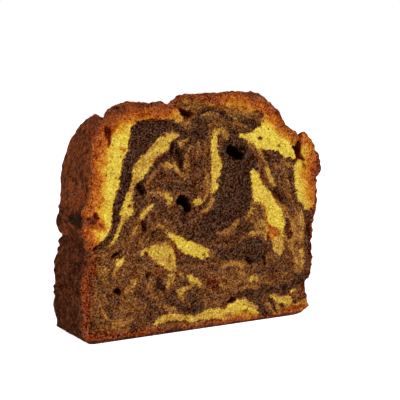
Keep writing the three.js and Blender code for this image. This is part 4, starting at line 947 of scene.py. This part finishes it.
def cut_face(smooth, rim, y, inward, reach, edge):
    """A cut face's own points, how baked they are, and their painted shade in hollows.

    smooth and rim are the section and its uneven rim, y is the cut's place, inward is
    1 at the front cut and -1 at the back one, and reach and edge are the rim's."""
    face = fill_face(smooth, rim)
    x, z = face[..., 0], face[..., 1]
    y = np.full(x.shape, y)
    away, nearest = rim_distance(face, smooth)
    sink = crumb_relief(x, y, z, away)
    painted_shade = np.zeros(x.shape)
    bent = (x - MIDDLE_OF_BASE + 0.6 * rough(x, y, z, 1.8, 2, 131),
            z + 0.6 * rough(x, y, z, 1.8, 2, 137))
    if inward > 0:
        sink, painted_shade = carve_front(x, y, z, away, sink, bent)
    sink[[0, -1]] = 0
    sink[:, [0, -1]] = 0
    y = y + inward * sink
    brown = face_browning(x, y, z, away, reach[nearest], edge[nearest])
    if inward > 0:
        brown = np.maximum(brown, paint(BROWNED, *bent))
    return np.stack([x, y, z], -1)[INNER].reshape(-1, 3), brown[INNER].ravel(), painted_shade[INNER].ravel()


# ---- fields ----------------------------------------------------------------------


def flow_map(strokes):
    """Which way the batter flows, as an angle at each millimetre of the front cut: the
    strokes' own directions, averaged with weights exp(-(distance / reach)^2). Angles
    are doubled while they are averaged, so that both ways along a line agree."""
    x, z = np.meshgrid(np.arange(-FLOW_HALF, FLOW_HALF + 1), np.arange(FLOW_TOP + 1))
    cosine, sine = (np.full(x.shape, lean) for lean in FAINT_FLOW)
    for _, _, points in strokes:
        p = np.asarray(points, float)
        step = np.diff(p[:, :2], axis=0)
        angle = 2 * np.arctan2(step[:, 1], step[:, 0])
        for (mx, mz), turn, size in zip(p[:-1, :2] + step / 2, angle, np.hypot(*step.T)):
            weight = size * np.exp(-((x - mx) ** 2 + (z - mz) ** 2) / FLOW_REACH ** 2)
            cosine += weight * np.cos(turn)
            sine += weight * np.sin(turn)
    return np.arctan2(sine, cosine) / 2


def flow_at(flow, x, z):
    """The flow's angle at the map's place that is nearest to each point."""
    row = np.clip(np.rint(z).astype(int), 0, flow.shape[0] - 1)
    column = np.clip(np.rint(x + FLOW_HALF).astype(int), 0, flow.shape[1] - 1)
    return flow[row, column]


def streaks(flow, x, y, z, size, shift, steps=5, stride=0.7):
    """Lumps smeared along the flow: their mean over a short walk both ways, which
    turns with the flow. About -1 to 1."""
    y = STREAK_DEPTH * y
    total = lumps(x, y, z, size, shift)
    for way in (-1, 1):
        px, pz, before = x, z, None
        for _ in range(steps):
            angle = flow_at(flow, px, pz)
            dx, dz = np.cos(angle), np.sin(angle)
            sign = way if before is None else np.sign(dx * before[0] + dz * before[1])
            before = dx * sign, dz * sign
            px, pz = px + stride * before[0], pz + stride * before[1]
            total = total + lumps(px, y, pz, size, shift)
    return total / (1 + steps)


def batter_place(x, y, z):
    """Where in the front cut's strokes the batter at each point belongs: bent by small
    lumps, and drifting sideways and folding over more and more towards the back."""
    part = np.clip((y - FRONT) / THICKNESS, 0, 1)
    px = x - MIDDLE_OF_BASE + 0.5 * rough(x, y, z, 2.6, 2, 71) + 0.55 * lumps(x, y, z, 1.0, 73)
    pz = z + 0.5 * rough(x, y, z, 2.6, 2, 83) + 0.55 * lumps(x, y, z, 1.0, 87)
    px = px + part * (3.0 + 9.0 * lumps(x, y, z, 24, 3))
    pz = pz + part * (-2.0 + 8.0 * lumps(x, y, z, 21, 9))
    return px, pz


def tone_of(cocoa, streaky):
    """The tone of an amount of cocoa, after streaks have shifted the mixed amounts."""
    mixed = ease(4 * cocoa * (1 - cocoa))
    return np.interp(np.clip(cocoa + mixed * streaky, 0, 1), COCOA_AMOUNTS, COCOA_TONES)


def marbling(x, y, z):
    """The batter's fields at each point: the tones on both sides of the nearest edge
    between batters, how far across that edge the point is, how plum or olive the crumb
    is, and the flow's direction as the cosine and sine of twice its angle."""
    px, pz = batter_place(x, y, z)
    first, second, across = lay_batter(SWIRLS, px, pz)
    flow = flow_map(SWIRLS)
    wisps = streaks(flow, px, y, pz, 1.1, 47)
    drifts = streaks(flow, px, y, pz, 3.2, 59, steps=6, stride=1.2)
    streaky = 0.20 * wisps + 0.05 * drifts
    way = 2 * flow_at(flow, px, pz)
    return {
        "first": tone_of(first, streaky),
        "second": tone_of(second, streaky),
        "across": across,
        "warmth": 0.6 * streaks(flow, px, y, pz, 2.2, 151) + 0.5 * rough(x, y, z, 4, 2, 157),
        "flow_cosine": np.cos(way),
        "flow_sine": np.sin(way),
    }


# ---- the slice ---------------------------------------------------------------------


def quads_of(*corners):
    """Four-sided faces: one for each place in four arrays of vertex numbers."""
    return np.stack(corners, -1).reshape(-1, 4)


def face_quads(rim, start):
    """The faces of a cut: rim holds the numbers of the crust's vertices round it, and
    its own are counted from start."""
    index = np.empty((CELLS_UP + 1, CELLS_ACROSS + 1), int)
    index[INNER] = start + np.arange(index[INNER].size).reshape(index[INNER].shape)
    index[0], index[:, -1], index[-1], index[:, 0] = sides_of(rim)
    return quads_of(index[:-1, :-1], index[:-1, 1:], index[1:, 1:], index[1:, :-1])


def build_slice():
    """Vertices in millimetres, four-sided faces, and the fields at the vertices."""
    part = np.linspace(0, 1, CELLS_DEEP + 1)
    smooth = outline(part) + (STATIONS_SHIFT, 0)
    x, z = smooth[..., 0], smooth[..., 1]
    y = np.broadcast_to((FRONT + THICKNESS * part)[:, None], x.shape)
    cleft = cleft_depth(x, y, z)
    loops = crust_loops(smooth, y, cleft)
    reach, edge, skin = rim_values(smooth[0])

    points = [np.stack([loops[..., 0], y, loops[..., 1]], -1).reshape(-1, 3)]
    baked = [skin_browning(x, y, z, skin, cleft).ravel()]
    # painted shade in the clefts of the crust
    hollow = [(PAINTED_CLEFT_SHADE * rise(cleft, 0, DEEP_CLEFT)).ravel()]
    band = np.arange(x.size).reshape(x.shape)
    after = np.roll(band, -1, axis=1)
    quads = [quads_of(band[:-1], band[1:], after[1:], after[:-1])]
    for level, cut, inward in ((0, FRONT, 1), (-1, -FRONT, -1)):
        face, brown, painted_shade = cut_face(smooth[level], loops[level], cut, inward, reach, edge)
        quads.append(face_quads(band[level], sum(map(len, points)))[:, ::inward])
        points.append(face)
        baked.append(brown)
        hollow.append(painted_shade)

    points = np.vstack(points)
    fields = marbling(*points.T)
    fields["baked"] = np.concatenate(baked)
    fields["hollow"] = np.concatenate(hollow)
    return points, np.vstack(quads), fields


def make_mesh(name, points, quads, fields):
    """Puts whole arrays into a smooth-shaded mesh, with each field as an attribute."""
    mesh = bpy.data.meshes.new(name)
    mesh.vertices.add(len(points))
    mesh.vertices.foreach_set("co", (points * MM).astype(np.float32).ravel())
    mesh.loops.add(quads.size)
    mesh.loops.foreach_set("vertex_index", quads.astype(np.int32).ravel())
    mesh.polygons.add(len(quads))
    mesh.polygons.foreach_set("loop_start", np.arange(0, quads.size, 4, dtype=np.int32))
    mesh.update(calc_edges=True)
    mesh.validate()
    mesh.shade_smooth()
    for title, values in fields.items():
        attribute = mesh.attributes.new(title, "FLOAT", "POINT")
        attribute.data.foreach_set("value", values.astype(np.float32))
    piece = bpy.data.objects.new(name, mesh)
    bpy.context.scene.collection.objects.link(piece)
    return piece


# ---- shader values -------------------------------------------------------------------


def set_stops(ramp, stops):
    """Gives a colour ramp its stops, each a place from 0 to 1 and a colour."""
    while len(ramp.elements) < len(stops):
        ramp.elements.new(0.5)
    for element, (place, shade) in zip(ramp.elements, stops):
        element.position = place
        element.color = shade


class Value:
    """A socket's value in a node tree, with arithmetic written as + - *."""

    def __init__(self, tree, socket=None):
        self.tree = tree
        self.socket = socket

    def node(self, kind, settings, inputs, output=0):
        """Adds a node: its settings first, then the values or links of its sockets."""
        node = self.tree.nodes.new(kind)
        for title, setting in settings.items():
            if title == "stops":
                set_stops(node.color_ramp, setting)
            else:
                setattr(node, title, setting)
        for title, given in inputs.items():
            if isinstance(given, Value):
                self.tree.links.new(given.socket, node.inputs[title])
            else:
                node.inputs[title].default_value = given
        return Value(self.tree, node.outputs[output]) if node.outputs else None

    def calculate(self, operation, first, second):
        """Adds the Math node of an operator."""
        return self.node("ShaderNodeMath", {"operation": operation}, {0: first, 1: second})

    def __add__(self, other):
        return self.calculate("ADD", self, other)

    def __radd__(self, other):
        return self.calculate("ADD", other, self)

    def __sub__(self, other):
        return self.calculate("SUBTRACT", self, other)

    def __rsub__(self, other):
        return self.calculate("SUBTRACT", other, self)

    def __mul__(self, other):
        return self.calculate("MULTIPLY", self, other)

    def __rmul__(self, other):
        return self.calculate("MULTIPLY", other, self)

    def within(self, low, high):
        """0 up to low, 1 from high on, and even between."""
        return self.node("ShaderNodeMapRange", {}, {"Value": self, "From Min": low, "From Max": high})


def node_maker(owner):
    """Empties the node tree of a material or a world, and returns what adds nodes to it."""
    owner.use_nodes = True
    owner.node_tree.nodes.clear()
    return Value(owner.node_tree).node


def noise(place, size, layers, harsh):
    """Noise from 0 to 1, with lumps of a size in millimetres and finer layers on them."""
    return place.node("ShaderNodeTexNoise", {}, {"Vector": place, "Scale": 1 / (size * MM),
                                                 "Detail": layers, "Roughness": harsh}, "Fac")


def cells(place, size, output="Color"):
    """Cells of a size in millimetres: a number of each cell's own, as the grey of its
    colour, or the distance from its middle."""
    return place.node("ShaderNodeTexVoronoi", {"feature": "F1"},
                      {"Vector": place, "Scale": 1 / (size * MM)}, output)


def ramp(factor, stops):
    """The colour that a value picks from the stops."""
    return factor.node("ShaderNodeValToRGB", {"stops": stops}, {"Fac": factor}, "Color")


MIX_FIRST, MIX_SECOND, MIX_RESULT = 6, 7, 2  # a Mix node's sockets for colours


def blend(factor, first, second):
    """From the first colour to the second as the factor goes from 0 to 1."""
    return factor.node("ShaderNodeMix", {"data_type": "RGBA"},
                       {0: factor, MIX_FIRST: first, MIX_SECOND: second}, MIX_RESULT)


def tinted(first, second):
    """One colour multiplied by the other."""
    return first.node("ShaderNodeMix", {"data_type": "RGBA", "blend_type": "MULTIPLY"},
                      {0: 1.0, MIX_FIRST: first, MIX_SECOND: second}, MIX_RESULT)


# ---- finish --------------------------------------------------------------------------


def colour(red, green, blue):
    """A colour given as 0 to 255 on screen, as the light it stands for."""
    def light(level):
        level /= 255
        return level / 12.92 if level <= 0.04045 else ((level + 0.055) / 1.055) ** 2.4
    return (light(red), light(green), light(blue), 1.0)


MARBLE = [  # batter, from yellow to cocoa
    (0.00, colour(226, 208, 84)), (0.10, colour(210, 187, 67)), (0.20, colour(189, 158, 57)),
    (0.32, colour(169, 131, 49)), (0.44, colour(148, 104, 41)), (0.56, colour(124, 79, 33)),
    (0.68, colour(98, 57, 25)), (0.80, colour(71, 40, 20)), (0.90, colour(53, 29, 15)),
    (1.00, colour(34, 16, 9)),
]
BAKED = [  # yellow batter, from crumb to dark crust
    (0.00, colour(232, 202, 80)), (0.18, colour(220, 164, 52)), (0.34, colour(203, 121, 37)),
    (0.50, colour(177, 89, 27)), (0.64, colour(146, 69, 25)), (0.76, colour(120, 56, 26)),
    (0.85, colour(96, 53, 35)), (0.93, colour(75, 38, 20)), (1.00, colour(58, 26, 11)),
]
# What browning multiplies any crumb by: BAKED over its own first colour.
TINT = [(place, tuple(a / b for a, b in zip(shade, BAKED[0][1]))) for place, shade in BAKED]
BURNT = colour(34, 26, 18)
PAINTED_SHADE_RAMP = [  # painted shade of hollows: what it multiplies the crumb by, from a hollow's edge inwards
    (0.00, colour(255, 255, 255)), (0.25, colour(205, 175, 150)), (0.50, colour(150, 95, 65)),
    (0.75, colour(115, 60, 34)), (1.00, colour(80, 36, 16)),
]
PLUM, OLIVE = (1.07, 0.94, 1.18, 1.0), (0.94, 1.06, 0.78, 1.0)  # tints of the crumb
DARKEST = (0.05, 0.025, 0.0)  # the darkest that grain makes a colour on screen
SCREEN_GAMMA = 2.2
CRUSTED = (0.50, 0.92)  # browning at which crumb begins to be crust, and is it
CHARRED = (1.02, 1.35)  # browning at which crust begins to be burnt, and is it
PATTERN_TURN = (0.61, 0.37, 0.83)  # radians, so that no cut lies along a pattern's lattice

# Noises: the size of the lumps in millimetres, how many finer layers, and how strong those are.
SOFT, PATCHES, TINGE, THREADS = (0.8, 2, 0.8), (2.2, 3, 0.6), (2.4, 2, 0.5), (0.75, 1, 0.7)
THREAD_STEPS = (-1.3, -0.65, 0, 0.65, 1.3)  # millimetres along the flow, averaged for a thread
# Cells' sizes in millimetres.
FLECKS, CRUMBS, PITS, PORES = 0.42, 0.5, 1.3, 1.7
MATTE = 0.85  # roughness of the slice
BUMP_STRENGTH, BUMP_HEIGHT = 0.8, 0.8  # the height in millimetres
FIELDS = ("first", "second", "across", "warmth", "flow_cosine", "flow_sine", "baked", "hollow")


def turned_place(vector):
    """Coordinates turned off the cuts' own directions."""
    return vector.node("ShaderNodeMapping", {}, {"Vector": vector, "Rotation": PATTERN_TURN})


def threads(here, cosine, sine):
    """Fine threads of batter, about -0.5 to 0.5: noise, averaged over a short walk
    along the flow, which is given as the cosine and sine of twice its angle."""
    make = here.node
    angle = make("ShaderNodeMath", {"operation": "ARCTAN2"}, {0: sine, 1: cosine}) * 0.5
    along = make("ShaderNodeCombineXYZ", {},
                 {"X": make("ShaderNodeMath", {"operation": "COSINE"}, {0: angle}),
                  "Z": make("ShaderNodeMath", {"operation": "SINE"}, {0: angle})})
    walk = []
    for step in THREAD_STEPS:
        shift = make("ShaderNodeVectorMath", {"operation": "SCALE"}, {0: along, "Scale": step * MM})
        there = make("ShaderNodeVectorMath", {"operation": "ADD"}, {0: here, 1: shift})
        walk.append(noise(turned_place(there), *THREADS))
    return sum(walk) * (1 / len(walk)) - 0.5


def browned(crumb, browning, cocoa):
    """Browning first tints the crumb, less where it is dark with cocoa, then turns it
    into crust, and chars that where it is strongest."""
    surface = tinted(crumb, ramp(browning * (1.0 - cocoa * 0.35), TINT))
    surface = blend(browning.within(*CRUSTED), surface, ramp(browning, BAKED))
    return blend(browning.within(*CHARRED), surface, BURNT)


def grained(surface, grain):
    """Adds the grain to the colour as the screen shows it, where it changes red, green
    and blue by the same step."""
    make = grain.node
    screen = make("ShaderNodeGamma", {}, {"Color": surface, "Gamma": 1 / SCREEN_GAMMA})
    screen = make("ShaderNodeVectorMath", {"operation": "ADD"}, {0: screen, 1: grain})
    screen = make("ShaderNodeVectorMath", {"operation": "MAXIMUM"}, {0: screen, 1: DARKEST})
    return make("ShaderNodeGamma", {}, {"Color": screen, "Gamma": SCREEN_GAMMA})


def finish_slice():
    """Matte crumb and crust. Cocoa picks the batter's colour, baking browns it, and painted
    shade darkens hollows and clefts; grains, pores and flecks break the colour up, and raise a fine bump."""
    material = bpy.data.materials.new("crumb_and_crust")
    make = node_maker(material)
    here = make("ShaderNodeTexCoord", {}, {}, "Object")
    place = turned_place(here)
    first, second, across, warmth, flow_cosine, flow_sine, baked, hollow = (
        make("ShaderNodeAttribute", {"attribute_name": title}, {}, "Fac") for title in FIELDS)

    # What breaks the colours up: threads, soft and patchy noise, wide pores and sharp pits.
    thread = threads(here, flow_cosine, flow_sine)
    soft = noise(place, *SOFT) - 0.5
    patch = noise(place, *PATCHES) - 0.5
    # Pores and pits also darken the colour below: painted shade of small holes in the crumb.
    pore = 1 - (cells(place, PORES, "Distance") + patch * 0.5).within(0.06, 0.26)
    pit = 1 - (cells(place, PITS, "Distance") + soft * 0.3).within(0.08, 0.28)
    pit = pit * cells(place, PITS).within(0.64, 0.70)

    # Batter: the nearest edge's two tones, parted along a ragged line.
    ragged = across + (cells(place, CRUMBS) - 0.5) * 0.45 + soft * 0.9 + patch * 0.55
    side = ragged.within(0.5 - EDGE_SHARE / 2, 0.5 + EDGE_SHARE / 2)
    cocoa = first + (second - first) * side
    mixed = cocoa * (1 - cocoa) * 4
    batter = 0.07 + cocoa + patch * (mixed * 0.16 + 0.09) + pore * 0.04 + thread * (mixed * 0.75 + 0.05)
    hue = 0.5 + (warmth * 0.45 + (noise(place, *TINGE) - 0.5) * 1.5) * (cocoa * 0.45 + 0.28)
    crumb = tinted(ramp(batter, MARBLE), blend(hue.within(0.0, 1.0), OLIVE, PLUM))

    browning = baked + (soft * 0.60 + patch * 0.80 + pit * 0.20) * baked.within(0, 0.3)
    surface = browned(crumb, browning, cocoa)
    # Painted shade in hollows and clefts, darker with depth.
    surface = tinted(surface, ramp(hollow + soft * 0.3, PAINTED_SHADE_RAMP))

    # Grain is strongest in mixed batter, and weak in hollows and on dark crust.
    strength = 0.88 + cocoa * 0.20 + mixed * 0.20 + baked.within(0.2, 0.6) * 0.18
    grain = ((cells(place, FLECKS) - 0.5) * 0.30 + soft * 0.26) * strength
    grain = grain - pit * (0.34 - cocoa * 0.28 + mixed * 0.20)
    grain = grain * (1 - hollow * 0.7) * (1 - baked.within(0.66, 0.88) * 0.58)
    surface = grained(surface, grain)

    bump_height = soft * 0.9 + patch * 0.3 - pore * 0.3 - pit * 0.6
    bump = make("ShaderNodeBump", {}, {"Height": bump_height, "Strength": BUMP_STRENGTH,
                                       "Distance": BUMP_HEIGHT * MM}, "Normal")
    shader = make("ShaderNodeBsdfPrincipled", {},
                  {"Base Color": surface, "Roughness": MATTE, "Normal": bump,
                   "Specular IOR Level": 0.0}, "BSDF")
    make("ShaderNodeOutputMaterial", {}, {"Surface": shader})
    return material


# ---- floor, light and camera -----------------------------------------------------------

WHITE = (1, 1, 1, 1)
FLOOR_HALF = 3.0  # metres
FLOOR_GREY = (0.5, 0.5, 0.5, 1)
FLOOR_ROUGHNESS = 0.9
FLOOR_GLOW = 0.9  # lifts the floor to near white without washing out the contact shadow
AMBIENT = 0.5  # how strongly the white surroundings light the slice; they look like 1

# Soft far lights: name, heading (0 is the front, positive to the right), height above
# the floor, strength, and the width of the light; all but the strength in degrees.
SUNS = [("key", 42, 46, 2.3, 16), ("fill", -72, 38, 0.9, 30)]

# The camera stands in front and to the left, and looks slightly down.
CAMERA_PLACE = (-0.14994, -0.28338, 0.08574)  # metres
CAMERA_HEADING = 28.54  # degrees to the right of straight ahead
CAMERA_DIP = 6.955  # degrees below level
FOCAL_LENGTH, SENSOR_WIDTH = 76.5, 36  # millimetres


def make_floor():
    """A plain pale floor under the slice, as far as the view reaches."""
    mesh = bpy.data.meshes.new("floor")
    s = FLOOR_HALF
    mesh.from_pydata([(-s, -s, 0), (s, -s, 0), (s, s, 0), (-s, s, 0)], [], [(0, 1, 2, 3)])
    material = bpy.data.materials.new("floor_white")
    make = node_maker(material)
    shader = make("ShaderNodeBsdfPrincipled", {},
                  {"Base Color": FLOOR_GREY, "Roughness": FLOOR_ROUGHNESS,
                   "Specular IOR Level": 0.0, "Emission Color": WHITE,
                   "Emission Strength": FLOOR_GLOW}, "BSDF")
    make("ShaderNodeOutputMaterial", {}, {"Surface": shader})
    mesh.materials.append(material)
    floor = bpy.data.objects.new("floor", mesh)
    bpy.context.scene.collection.objects.link(floor)


def make_world():
    """White behind the slice, and an even, dimmer light from all round it."""
    world = bpy.data.worlds.new("studio")
    make = node_maker(world)
    seen = make("ShaderNodeLightPath", {}, {}, "Is Camera Ray")
    strength = seen * (1.0 - AMBIENT) + AMBIENT
    backdrop = make("ShaderNodeBackground", {}, {"Color": WHITE, "Strength": strength})
    make("ShaderNodeOutputWorld", {}, {"Surface": backdrop})
    bpy.context.scene.world = world


def add_sun(name, heading, height, strength, width):
    """A far light, as one line of SUNS gives it."""
    light = bpy.data.lights.new(name, "SUN")
    light.energy = strength
    light.angle = math.radians(width)
    lamp = bpy.data.objects.new(name, light)
    lamp.rotation_euler = (math.radians(90 - height), 0, math.radians(heading))
    bpy.context.scene.collection.objects.link(lamp)


def add_camera():
    """The scene's camera."""
    lens = bpy.data.cameras.new("camera")
    lens.lens = FOCAL_LENGTH
    lens.sensor_width = SENSOR_WIDTH
    camera = bpy.data.objects.new("camera", lens)
    camera.location = CAMERA_PLACE
    camera.rotation_euler = (math.radians(90 - CAMERA_DIP), 0, math.radians(-CAMERA_HEADING))
    bpy.context.scene.collection.objects.link(camera)
    bpy.context.scene.camera = camera


# ---- the scene -------------------------------------------------------------------------

slice_piece = make_mesh("marble_slice", *build_slice())
slice_piece.data.materials.append(finish_slice())
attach(slice_piece, "root")
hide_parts("cake_slice")

make_floor()
make_world()
for sun in SUNS:
    add_sun(*sun)
add_camera()
bpy.context.scene.view_settings.view_transform = "Standard"
